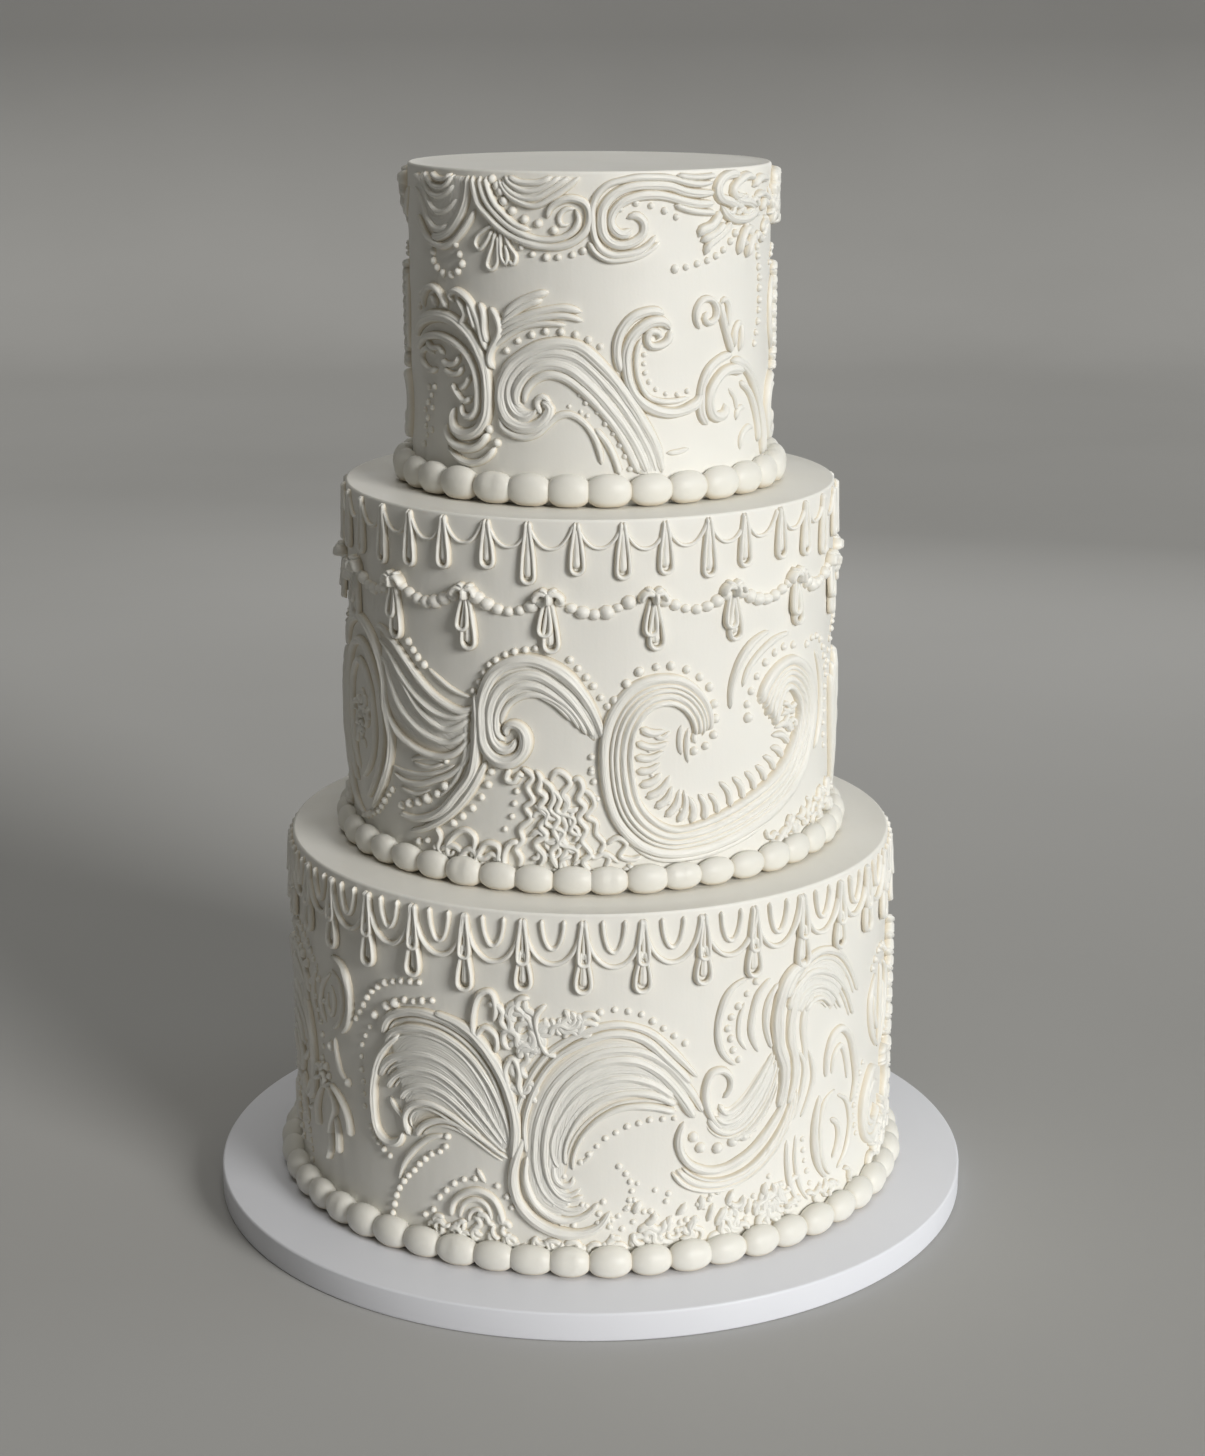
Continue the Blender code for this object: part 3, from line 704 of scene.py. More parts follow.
def side_motif(p, x, scale):
    """A pair of scrolls back to back with a fan over them, for the walls beside the front."""
    for hand in (-1, 1):
        place = (x, hand, scale, 18)
        p.swath(moved([(2, 8), (12, 2), (24, 10), (27, 28), (16, 42), (6, 40)], *place),
            moved([(4, 22), (9, 15), (16, 17), (18, 26), (13, 32), (8, 31)], *place), 3, 2.6)
        p.rib(moved([(3, 48), (14, 60), (17, 76), (9, 86)], *place), 3.2)
        p.rib(moved([(3, 56), (9, 65), (10, 76)], *place), 2.6)
        p.pearl_line(moved([(30, 14), (33, 30), (24, 47)], *place), 2.6, 4.6)
    p.rib(moved([(0, 46), (0, 66), (0, 88)], *place), 3.0)
    p.pearl_line(moved([(-14, 90), (0, 97), (14, 90)], *place), 3.0, 4.8)
    p.braid(x + 27, 12, 108, 6.0)
    p.strands(lambda px, pz: abs(px - x) < 20 and pz < 26, (x - 20, 9, x + 20, 22), 6, 2.8, 10, 1.2)


def bottom_strings(p):
    """Swags under the bottom tier's rim, with double loops between them and small U loops inside."""
    pitch = p.wall.girth / DROPS_BOTTOM
    for k in range(DROPS_BOTTOM):
        x = -3 + k * pitch + p.random.normal(0, 0.4)
        p.garland(x + 0.6, x + pitch - 0.6, 147.6, 18.5, 2.0, deep=True)
        p.garland(x + 0.5 * pitch - 4.3, x + 0.5 * pitch + 4.3, 147.6, 12.5, 1.9, deep=True)
        p.loop(x, 147.6, 129.5, 4.2, 1.8, 0.0, 1.2)
        p.drop(x, 146.5, 131.5, 2.2, 1.9)
        bottom = 118.0 + p.random.normal(0, 0.9)
        p.loop(x, 135, bottom, 6.0, 1.9, p.random.normal(0, 0.3), 1.0)
        p.drop(x, 132, bottom + 2.4, 4.0, 2.0)


def medallion(p):
    """The left edge: nested ovals round a tangle, with pearls under them."""
    p.rib([(-107, 19), (-101, 26.5), (-95, 36), (-91, 47), (-91, 56), (-94.5, 66), (-95, 76), (-99, 86),
        (-107, 94), (-117, 97), (-130, 92), (-139, 80)], 4.0, 3.0, (0.1, 0.1))
    p.rib([(-112, 22), (-104, 31), (-98.5, 43), (-97, 56), (-99.5, 70), (-105, 81), (-113, 87), (-124, 85),
        (-133, 74), (-137, 58), (-133, 40), (-124, 26)], 3.6, 2.8, (0.1, 0.1))
    p.rib([(-116, 30), (-108, 38), (-103.5, 50), (-104.5, 64), (-110, 75), (-118, 79), (-126, 73),
        (-130, 58), (-127, 43), (-121, 32)], 3.0, 2.4, (0.1, 0.1))
    p.rib([(-141, 66), (-143, 50), (-139, 34), (-129, 20), (-117, 14)], 3.4, 2.6)
    p.squiggles(in_oval(-117, 56, 11, 19), (-128, 37, -106, 75), 14, 2.2)
    p.pearl_line([(-91.5, 30.5), (-97, 25), (-103, 19), (-110, 15.5), (-118, 12.5)], 3.2, 4.0)


def drapery(p):
    """Folds hung from the medallion to one gathering line, over a thick pair of ribs."""
    p.swath([(-100, 97), (-94, 97), (-86, 92), (-76, 83), (-65, 76), (-56, 72), (-48, 72)],
        [(-92, 62), (-88, 57), (-80, 52.5), (-70, 50), (-60, 50.5), (-53, 54), (-49, 60)], 1, 1.0,
        stagger=0.0)
    p.lines(2.6, (0.25, 0.1),
        (3.4, [(-101, 97), (-95, 96.5), (-87, 92), (-79, 85.5), (-69, 77), (-60, 72), (-52, 70),
            (-46.5, 72.5)]),
        (2.6, [(-98, 92), (-90, 87), (-82, 79), (-73, 72), (-63, 67.5), (-55, 67), (-48, 70)]),
        (3.2, [(-88.5, 84), (-84, 79.5), (-79, 74), (-74, 68.5), (-68, 64.5), (-60, 61.5), (-53, 64),
            (-48.5, 67.5)]),
        (3.2, [(-98, 85), (-93, 82.5), (-90, 76), (-85, 68), (-78, 62), (-68, 57.5), (-58, 56.5),
            (-49, 62)]),
        (3.0, [(-95, 65), (-91, 60), (-86, 55.5), (-78, 52), (-69, 50), (-60, 50.5), (-54, 53.5),
            (-49, 59)]))
    p.rib([(-68.5, 85), (-62, 81), (-55, 77.5), (-48, 76)], 2.2)
    p.pearls([(-79, 94), (-76.5, 91), (-74, 88.5), (-70.5, 86)], 3.4)
    p.rib([(-79, 46), (-70, 48.5), (-60.5, 48.5)], 2.2)
    p.rib([(-78, 45), (-69, 44.5), (-61, 47.5)], 2.0)
    p.pearls([(-60, 48.5)], 2.8)
    p.rib([(-91, 41), (-84, 40), (-75, 40.5), (-65, 43), (-56, 47.5)], 2.2)
    p.rib([(-90, 38), (-83, 36), (-74, 36.5), (-65, 40), (-57, 44), (-50, 51), (-48.5, 58)], 2.8)
    p.rib([(-86, 33), (-77, 32), (-68, 35.5)], 2.0)
    p.pearl_line([(-85.5, 25), (-78, 28), (-70.5, 31), (-65.5, 34), (-60.5, 38)], 4.2, 5.6)
    p.rib([(-46, 78), (-45, 69), (-45.5, 58), (-47.5, 46), (-54, 36.5), (-63, 27), (-75, 22), (-86, 22)],
        4.6, 3.4, (0.1, 0.35))
    p.rib([(-51, 72), (-50.5, 62), (-51, 52), (-56, 41), (-64, 33)], 2.4)
    p.rib([(-41.5, 51), (-47.5, 39.5), (-55, 30), (-63, 23.5), (-72, 18.5), (-80, 16)], 3.8, 2.8,
        (0.15, 0.35))
    p.pearls([(-39.5, 47), (-41, 41.5), (-44, 36), (-48, 31), (-52.5, 27), (-57, 23.5)], 3.4)
    p.pearls([(-75, 12.5), (-70, 14), (-66, 12)], 3.6)


def roller(p):
    """A rolling wave of nested ribs that ends in a curl."""
    p.swath([(-44, 60), (-44.5, 74), (-38, 88), (-25, 94), (-14, 92), (-5, 86), (3, 76), (6, 63)],
        [(-36, 61), (-35, 70), (-30, 76), (-22, 78), (-14, 75), (-8, 70), (-2, 64), (1, 61)], 1, 1.0,
        stagger=0.0)
    for width, points in (
            (5.6, [(5, 62), (2.5, 70), (-2, 78.5), (-8, 86), (-15.5, 91), (-23, 93), (-30.5, 91.5),
                (-37, 87.5), (-41, 81), (-43, 73.5), (-43, 65.5), (-42.5, 59), (-39.5, 54), (-35, 51.5),
                (-30, 52.5), (-26, 56.5), (-25, 62), (-27, 66), (-30.5, 67), (-33, 65), (-32.5, 62)]),
            (4.6, [(1.5, 63), (-2, 70), (-7, 77.5), (-13.5, 83.5), (-20, 87), (-26.5, 87), (-32.5, 84),
                (-37, 79), (-39.5, 72), (-39.5, 65), (-38, 59.5), (-34, 56.5), (-30.5, 58), (-29, 61.5)]),
            (3.6, [(-1.5, 64), (-6, 72.5), (-12.5, 78.5), (-20, 82.5), (-25.5, 83), (-31.5, 80),
                (-35.5, 74.5), (-37, 68.5), (-36.5, 63), (-33.5, 60)]),
            (2.8, [(-4, 66), (-9, 73.5), (-15.5, 78), (-21, 79.5), (-26.5, 78.5), (-31, 75.5), (-34, 71),
                (-35, 66.5)]),
            (2.2, [(2.5, 66), (-3, 75), (-10.5, 83), (-18, 87.5)]),
            (2.2, [(-7, 69), (-12.5, 75), (-17.5, 78), (-22.5, 80)])):
        p.rib(points, width, 0.58 * width + 0.4, (0.25, 0.1))
    p.pearl_line([(-47, 79), (-43.5, 84), (-41, 88.5), (-36, 93), (-29, 96), (-21, 97.5)], 3.0, 4.4)
    p.pearl_line([(-8, 93.5), (-3, 89), (2, 82), (6.5, 75)], 3.0, 4.8)
    p.pearls([(0.5, 55), (0.5, 50), (1.5, 45), (2.5, 38)], 2.8)


def great_scroll(p):
    """A pair of facing C scrolls that share one sweeping foot, toothed inside."""
    p.swath([(49.5, 61), (49.5, 70), (45, 79), (36, 86), (25, 87.5), (15, 84), (7.5, 75), (3.5, 63), (3, 50),
        (5, 37), (9.5, 26), (18, 17), (29, 12.5), (43, 12), (56, 14), (69, 17.5), (82, 22), (94, 29),
        (103.5, 38), (109.5, 50), (112, 61), (109, 73), (101.5, 82), (92, 86.5), (82, 85), (74, 79),
        (70, 70)],
        [(41, 60), (39, 68), (34, 73), (28, 74), (22, 71), (18, 64), (17, 55), (18, 45), (20.5, 36),
        (26, 29.5), (34, 25.5), (44, 26.5), (55, 29.5), (67, 34), (79, 39.5), (88, 46.5), (94, 55.5),
        (96, 62), (94, 68), (89.5, 72), (86, 71), (83.5, 66), (82, 58)], 5, 3.4, first=1.5)
    p.rib([(15, 20.5), (25, 13), (40, 11.5), (56, 13.5), (72, 18), (88, 24)], 2.8)
    for x, top, bottom in ((36, 66, 54), (39, 64.5, 50.5), (42, 63, 58)):
        p.rib([(x, top), (x - 0.8, 0.5 * (top + bottom)), (x, bottom)], 2.6)
    p.teeth([(19.5, 66), (17.5, 58), (18, 49), (20, 41), (25, 34), (31, 28.5), (38, 26), (46, 26.5)], 5.6,
        11.5, 3.2)
    p.teeth([(52, 28), (61, 31), (70, 34.5), (79, 39), (87, 45.5), (93, 54), (94.5, 62)], 6.6, 10.5, 3.0)
    p.pearls([(24, 47), (27, 39.5), (31, 35), (36.5, 31.5), (23, 57)], 2.2)
    p.rib([(24.5, 63), (28, 61.5), (31.5, 64)], 2.4)
    p.pearls([(9.5, 77.5), (14, 84), (19, 88.5), (25.5, 90), (31.5, 90), (38, 88), (43.5, 84.5), (48, 80),
        (50, 73), (51, 67), (50, 60.5), (46.5, 56.5), (41.5, 55)], 3.7)
    p.rib([(57.5, 70), (58, 79), (62, 89), (68.5, 95.5), (77, 98.5)], 3.4, 2.6)
    p.rib([(63.5, 78), (66, 84.5), (72.5, 90.5), (81, 94.5), (90, 95.5)], 3.0)
    p.pearls([(66, 70.5), (68, 75.5), (71, 81), (75.5, 86), (81, 89), (86.5, 90.5), (93, 90)], 3.2)
    p.pearls([(66.5, 65)], 4.6)
    p.rib([(88, 74), (84, 67), (83.5, 60)], 2.4)
    p.squiggles(in_oval(91, 63, 5, 11), (85, 52, 97, 74), 5, 2.0)
    p.rib([(112, 84), (118, 72), (119, 56), (114, 42)], 3.2)
    p.pearl_line([(104, 88), (113, 90), (121, 84), (126, 74)], 3.0, 4.8)


def rocaille(p):
    """Knotted lines that run down between the wave and the great scroll, and arches along the foot."""
    for points in (
            [(-26, 50), (-22.5, 46.5), (-24.5, 42), (-22.5, 37.5), (-24.5, 33.5), (-23, 29.5), (-27.5, 25),
                (-26.5, 20.5), (-29, 17), (-27, 12.5), (-28.5, 8.5)],
            [(-32, 48.5), (-33, 45), (-30, 44), (-28, 47), (-26, 45.5)],
            [(-21.5, 48.5), (-19.5, 45.5), (-20.5, 41.5), (-17.5, 39), (-19.5, 34.5), (-17, 30.5),
                (-19.5, 26.5), (-17.5, 23), (-21, 19), (-18, 14.5), (-20.5, 10)],
            [(-15.5, 44.5), (-12.5, 48.5), (-10, 47.5), (-7.5, 44.5), (-10.5, 40.5), (-9, 36), (-11.5, 31.5),
                (-9, 27), (-11.5, 22.5), (-8.5, 18), (-11, 13.5), (-9, 9)],
            [(-20, 46.5), (-15.5, 43.5), (-13.5, 39), (-15, 34.5), (-12.5, 30.5), (-14, 26), (-12, 20.5),
                (-15, 16), (-12.5, 10)],
            [(-7.5, 45), (-4.5, 46), (-3, 42), (-5, 38.5), (-2, 35), (-4, 30.5), (-1, 26), (-3.5, 21.5),
                (0, 17), (-2.5, 12.5), (0, 9)],
            [(-3, 42), (0, 40), (1.5, 36), (-0.5, 31.5), (3, 28.5), (2, 24), (5.5, 20.5), (4, 16), (7, 14),
                (5.5, 9.5)],
            [(-17, 42.5), (-11.5, 38), (-12.5, 33.5), (-6, 30.5), (-7.5, 26), (-2, 23)],
            [(-22.5, 35.5), (-16, 32.5), (-17, 28), (-10.5, 25), (-11.5, 20.5), (-5, 17), (-6, 12.5)],
            [(-24.5, 22), (-20, 24.5), (-16, 20), (-11.5, 22.5), (-7.5, 17), (-3, 19.5), (1, 14), (5.5, 16),
                (11, 11.5)],
            [(5.5, 19.5), (10, 22.5), (14, 19), (12, 14.5), (16, 13.5), (19.5, 14.5)],
            [(-65, 20), (-63, 17), (-64, 12), (-60, 8.5)],
            [(-58.5, 9), (-59.5, 13), (-56.5, 18.5), (-51.5, 21.5), (-47, 19.5), (-46.5, 15), (-49, 10)],
            [(-46.5, 9), (-45, 14), (-41, 18), (-37, 16), (-37, 10.5)],
            [(-34.5, 9), (-34, 14.5), (-31.5, 19), (-27.5, 19.5)],
            [(-63, 11), (-57, 14), (-52, 12), (-50, 9)],
            [(-54, 9), (-49, 14), (-43, 11), (-39, 13.5), (-34, 10)]):
        p.wiggle(points)
    p.squiggles(lambda x, z: -26 < x < 4 and z < 40, (-26, 9, 4, 40), 9, 2.3, 3.0)
    p.squiggles(lambda x, z: z < 13, (-62, 8, 20, 13), 12, 2.2)
    p.squiggles(lambda x, z: z < 26 and x > 62 + 0.9 * z, (70, 9, 128, 27), 22, 2.3)
    p.pearls([(-29, 40), (-30, 35), (-31, 29.5), (-34, 24), (0.5, 49)], 2.6)


def middle_design(p):
    """The middle tier's front: the medallion, the drapery, the wave and the great scroll."""
    medallion(p)
    drapery(p)
    roller(p)
    rocaille(p)
    great_scroll(p)
    medallion_fan(p, 152)


def medallion_fan(p, x):
    """An upright shell of ribs between two pearl lines."""
    for lean in (-18, -11, -4, 4, 11, 18):
        p.rib([(x + 0.2 * lean, 18), (x + 0.75 * lean, 45), (x + lean, 78 - 0.5 * abs(lean))], 4.2, 3.4,
            (0.5, 0.1))
    p.pearl_line([(x - 25, 40), (x - 26, 65), (x - 14, 86), (x, 90), (x + 14, 86), (x + 25, 66)], 2.8, 5.2)
    p.rib(spiral((x - 12, 18), 7, 1.5, 0.0, -1.3), 2.6)
    p.rib(spiral((x + 12, 18), 7, 1.5, 0.5, 1.3), 2.6)
    p.strands(lambda px, pz: abs(px - x) < 27 and 9 < pz < 18, (x - 27, 9, x + 27, 16), 7, 2.8, 5, 1.3)


def middle_strings(p):
    """Loops and thin swags at the middle tier's rim, and a pearl garland with bows and loops below."""
    pitch = p.wall.girth / DROPS_MIDDLE
    for k in range(DROPS_MIDDLE):
        x = -6 + k * pitch + p.random.normal(0, 0.5)
        p.garland(x, x + pitch, 146.3, 9.5, 1.4)
        bottom = 125.5 + p.random.normal(0, 1.8)
        p.loop(x, 147, bottom, 5.0, 1.7, p.random.normal(0, 0.2), 0.6)
        p.drop(x, 145, bottom + 2.2, 3.5, 1.9)
    pitch = p.wall.girth / BOWS_MIDDLE
    for k in range(BOWS_MIDDLE):
        x = -13.5 + k * pitch + p.random.normal(0, 2.0)
        for place in smooth([(x + 4.5, 116), (x + 0.5 * pitch, 111.5), (x + pitch - 4.5, 116)], 4.5):
            p.pearls([place], p.random.uniform(4.0, 5.8), p.random.uniform(1.05, 1.3))
        p.bow(x, 118, 10.5)
        bottom = 97.0 + p.random.normal(0, 1.4)
        p.loop(x - 0.8, 117, 103.0, 4.6, 1.8, -0.5, 1.6)
        p.loop(x + 0.7, 116, bottom, 5.6, 1.9, 0.4, 0.8)
        p.drop(x + 0.6, 115, bottom + 2.2, 4.0, 2.3)


def rim_drapery(p):
    """The top rim's left: nested folds, a ribbed band that rolls into a curl, a swag and a fan of loops."""
    p.swath([(-90, 119), (-84, 110), (-78, 103), (-70, 99), (-62, 100), (-55, 105), (-51, 113),
        (-49, 124.5)],
        [(-74, 124.5), (-72, 123.5), (-69, 123), (-66, 122.5), (-63, 123), (-61, 123.5), (-59, 124.5)], 1,
        1.0, stagger=0.0)
    p.lines(2.3, (0.1, 0.1),
        (2.2, [(-71.5, 125), (-68, 123), (-65, 122.5), (-61.5, 123), (-58.5, 125)]),
        (2.4, [(-77, 125), (-72.5, 121), (-67.5, 119.5), (-62.5, 120), (-57, 124.5)]),
        (2.6, [(-79.5, 124.5), (-76, 120), (-72, 117), (-67.5, 116), (-62, 117), (-56, 121)]),
        (2.8, [(-87, 123), (-81.5, 122), (-77, 118.5), (-73.5, 114), (-70, 111), (-66, 110), (-61, 111),
            (-54.5, 116)]),
        (3.0, [(-87, 118.5), (-82, 116), (-78, 112), (-74, 107), (-70, 104), (-65.5, 103.5), (-60, 106)]),
        (4.2, [(-72, 100.5), (-66, 101), (-60.5, 103), (-56, 107), (-52.5, 112), (-50.5, 117.5),
            (-50, 124.5)]),
        (3.0, [(-84, 108), (-80, 104), (-75.5, 100), (-70.5, 98), (-65, 97), (-59, 98.5), (-53, 103),
            (-48, 109), (-46.5, 112)]))
    p.pearls([(-71.5, 94.5), (-71.5, 91), (-69, 88.5), (-65, 86.5), (-60, 86.5), (-56, 88), (-53.5, 91),
        (-55, 94.5), (-57, 98)], 3.4)
    p.lines(2.6, (0.05, 0.1),
        (3.2, [(-47.5, 124.5), (-46.5, 120), (-44.5, 114), (-40.5, 110), (-36.5, 106.5), (-32, 103.5),
            (-25, 100.5), (-18, 99), (-12, 99), (-6, 101), (-1.5, 105), (0, 110), (-1.5, 115), (-7, 117),
            (-12, 115.5), (-15, 113), (-16, 109.5)]),
        (2.8, [(-44, 124.5), (-43, 120), (-41, 115.5), (-37.5, 111.5), (-33, 107.5), (-28, 104.5),
            (-21.5, 102), (-15.5, 101.5), (-10, 102.5), (-5.5, 105.5), (-4, 109.5), (-5.5, 113)]),
        (2.4, [(-41, 124.5), (-39.5, 119), (-37, 114.5), (-33, 110.5), (-28.5, 107), (-22.5, 105)]))
    p.rib([(-5.5, 113), (-9, 113), (-11.5, 110), (-10.5, 107), (-7.5, 107.5)], 2.2)
    p.pearls([(-13.5, 105)], 3.6)
    p.pearls([(-38.5, 123.5), (-36.5, 121), (-35, 119), (-33.5, 115.5), (-30, 112), (-25, 109),
        (-19.5, 107.5)], 3.8)
    p.swath([(-35.5, 124), (-31.5, 119), (-26, 115.5), (-20.5, 114.5), (-15, 117), (-9, 121), (-4, 125)],
        [(-31, 125), (-29, 123.5), (-25, 122.5), (-21, 122.5), (-18, 123), (-15, 124), (-13, 125)], 1, 0.9,
        stagger=0.0)
    for points in (
            [(-31.5, 125), (-28, 123), (-23, 122.5), (-18, 123), (-14, 125)],
            [(-33, 125), (-29.5, 121.5), (-24, 119.5), (-18.5, 120.5), (-11, 125)],
            [(-34, 123.5), (-31, 119.5), (-26, 117), (-20.5, 117), (-14, 120.5), (-7.5, 125)],
            [(-35.5, 123.5), (-31.5, 118), (-26, 115), (-20.5, 114), (-14.5, 117), (-8.5, 121),
                (-3.5, 125)]):
        p.rib(points, 2.5, 2.2, (0.1, 0.1))
    for points in (
            [(-38, 106.5), (-42, 104.5), (-45.5, 102), (-46.5, 99), (-44.5, 97), (-41.5, 99.5),
                (-38.5, 104.5)],
            [(-37, 104), (-38.5, 99), (-40.5, 94), (-41, 91), (-39, 89.5), (-36.5, 92), (-36, 97),
                (-36, 102.5)],
            [(-34.5, 104), (-35, 99), (-34.5, 94), (-32.5, 92), (-32, 95), (-33, 99.5)],
            [(-33, 103.5), (-31, 98.5), (-28.5, 95), (-29.5, 92), (-31.5, 93.5)]):
        p.string(points, 1.9, 1.71, step=1.0)
    p.pearls([(-26.5, 98.5), (-22, 96), (-16.5, 95), (-12, 95), (-6.5, 96), (-2.5, 97.5)], 3.0)


def rim_spiral(p):
    """The top rim's right: a large spiral whose ribs run off to a cluster of rolled lobes."""
    p.lines(2.5, (0.08, 0.05),
        (2.8, [(51, 122), (43, 121.5), (37, 122.5), (31, 124), (25, 124.5), (18, 124.5), (12, 123.5),
            (7, 122), (3, 118.5), (1, 113.5), (1, 107.5), (2, 102), (4.5, 98), (8.5, 96), (13.5, 96),
            (18.5, 97), (22.5, 99.5), (25.5, 103)]),
        (3.8, [(51.5, 118), (43, 118), (37, 119), (31, 121), (25, 121.5), (18, 121.5), (12, 120), (7.5, 117),
            (5, 113), (4.5, 107.5), (5.5, 103), (9, 100), (13, 99.5), (17.5, 101), (20.5, 104), (20.5, 108),
            (17.5, 110.5), (14, 109.5)]),
        (3.6, [(51.5, 114), (44, 114), (38, 115), (31, 117), (25, 118), (18, 117.5), (12.5, 115.5), (9, 112),
            (8, 108), (10, 104.5), (13, 103.5), (16, 105.5)]),
        (2.2, [(27, 100.5), (22.5, 97), (18, 95), (13, 94), (7, 94), (2.5, 96.5), (-0.5, 101)]),
        (2.4, [(52, 124.5), (42, 124), (34, 125)]),
        (2.6, [(52, 110.5), (45, 111), (39, 112), (33, 114)]))
    p.pearls([(11.5, 113), (17.5, 115), (23.5, 114), (29, 112), (34, 109.5)], 2.8)
    p.pearls([(33.5, 90), (38.5, 90.5), (43.5, 91.5), (48.5, 92.5), (53, 94), (57, 96), (61, 99), (64, 102)],
        3.2)
    p.lines(2.8, (0.15, 0.15),
        (4.0, [(66, 124), (60, 124.5), (55, 122.5), (53, 119), (54.5, 116), (59, 114.5), (65, 112)]),
        (3.4, [(77, 122), (71, 123.5), (65, 121.5), (61.5, 118.5), (63.5, 116), (68, 117)]),
        (3.6, [(62.5, 115.5), (67, 114), (72, 113.5), (78, 111)]),
        (3.6, [(55.5, 113), (57.5, 110), (61, 108), (66, 107), (73, 107.5), (79, 110)]),
        (4.0, [(54.5, 111), (53, 108), (49.5, 105), (45.5, 104), (44, 101.5)]),
        (3.4, [(45, 100), (49, 101.5), (53.5, 103.5), (57, 106.5)]),
        (3.2, [(47, 94.5), (48.5, 98), (52.5, 100.5), (57.5, 103.5), (61, 106.5)]),
        (3.2, [(66, 93.5), (67.5, 99), (70, 102.5), (75, 104)]),
        (3.0, [(72, 92), (73.5, 97), (78, 101)]), (3.4, [(76, 119), (82, 122), (89, 121)]),
        (3.2, [(78, 115), (85, 116), (92, 113)]))
    p.squiggles(lambda x, z: z > 92, (66, 92, 90, 121), 12, 2.4)


def leafy_scroll(p):
    """The lower left: a double C scroll with curls in it, leaves over it and nested cups under it."""
    p.raised_lines((0.08, 0.12),
        (5.0, 3.2, [(-88, 60), (-83, 65.5), (-76.5, 68.5), (-68.5, 70), (-60, 69.5), (-53, 66.5),
            (-48.5, 62.5), (-45, 57.5), (-42.5, 51.5), (-41.5, 45), (-41.5, 38), (-42.5, 32.5), (-45.5, 28),
            (-50, 25.5), (-55, 25), (-59, 27), (-60, 31), (-58.5, 35)]),
        (3.2, 2.6, [(-86, 55), (-79.5, 60), (-71.5, 62), (-64, 62), (-57, 60), (-51.5, 56.5), (-48, 51.5),
            (-46.5, 46), (-46, 40.5), (-47, 35), (-50.5, 32), (-54, 33), (-54.5, 37)]),
        (2.6, 2.2, [(-69.5, 49), (-75, 48), (-81, 50.5), (-82, 54), (-77, 56.5), (-72, 54.5)]),
        (2.4, 2.2, [(-77, 60), (-73, 57), (-68, 57.5), (-64.5, 55)]),
        (2.6, 2.2, [(-66.5, 53), (-62, 51.5), (-57, 53), (-55.5, 56)]),
        (2.4, 2.0, [(-65, 50), (-60.5, 48), (-55.5, 49), (-53.5, 52)]),
        (2.4, 2.0, [(-56, 42.5), (-52, 45), (-50, 48.5)]),
        (2.6, 2.2, [(-60, 44.5), (-57, 40.5), (-53, 38), (-49, 40)]))
    p.pearls([(-77, 41), (-72.5, 41.5), (-75, 38), (-78, 35), (-81, 31.5), (-78.5, 28.5), (-81, 25),
        (-80, 21.5), (-82.5, 17.5), (-74.5, 33), (-75.5, 24)], 2.6)
    p.lines(2.8, (0.25, 0.1),
        (2.8, [(-80, 72), (-79, 76), (-76, 80), (-71.5, 81), (-67, 79.5), (-64, 76.5), (-62, 73)]),
        (2.8, [(-69.5, 73), (-70, 76), (-73, 78)]),
        (3.2, [(-58, 76), (-60.5, 78.5), (-57.5, 80.5), (-53, 79.5), (-49.5, 77), (-46.5, 72.5),
            (-44.5, 67.5), (-43, 62.5), (-40.5, 58)]),
        (2.8, [(-56, 78), (-53.5, 75), (-51.5, 72), (-53, 69.5), (-55, 67)]),
        (2.8, [(-50, 77.5), (-48.5, 72), (-46, 66)]),
        (3.2, [(-45, 77), (-43, 74), (-42.5, 70.5), (-42.5, 66.5), (-41, 61)]),
        (3.2, [(-40, 75.5), (-37.5, 73), (-36, 70), (-35.5, 66.5), (-37, 62.5), (-39.5, 58.5), (-40, 54.5),
            (-38, 51.5)]))
    p.pearls([(-51.5, 72), (-44.5, 65.5), (-85, 72), (-82, 77)], 3.4)
    p.rib([(-64, 28), (-63, 23.5), (-59, 20.5), (-54.5, 19.5), (-49, 20), (-44.5, 22.5), (-41, 27)], 3.4,
        2.8, (0.2, 0.1))
    p.rib([(-63, 19.5), (-58.5, 16), (-53, 14), (-47, 14.5), (-42, 17), (-38, 21.5)], 3.0, 2.6, (0.3, 0.1))
    p.pearls([(-41, 28), (-37.5, 23)], 3.4)


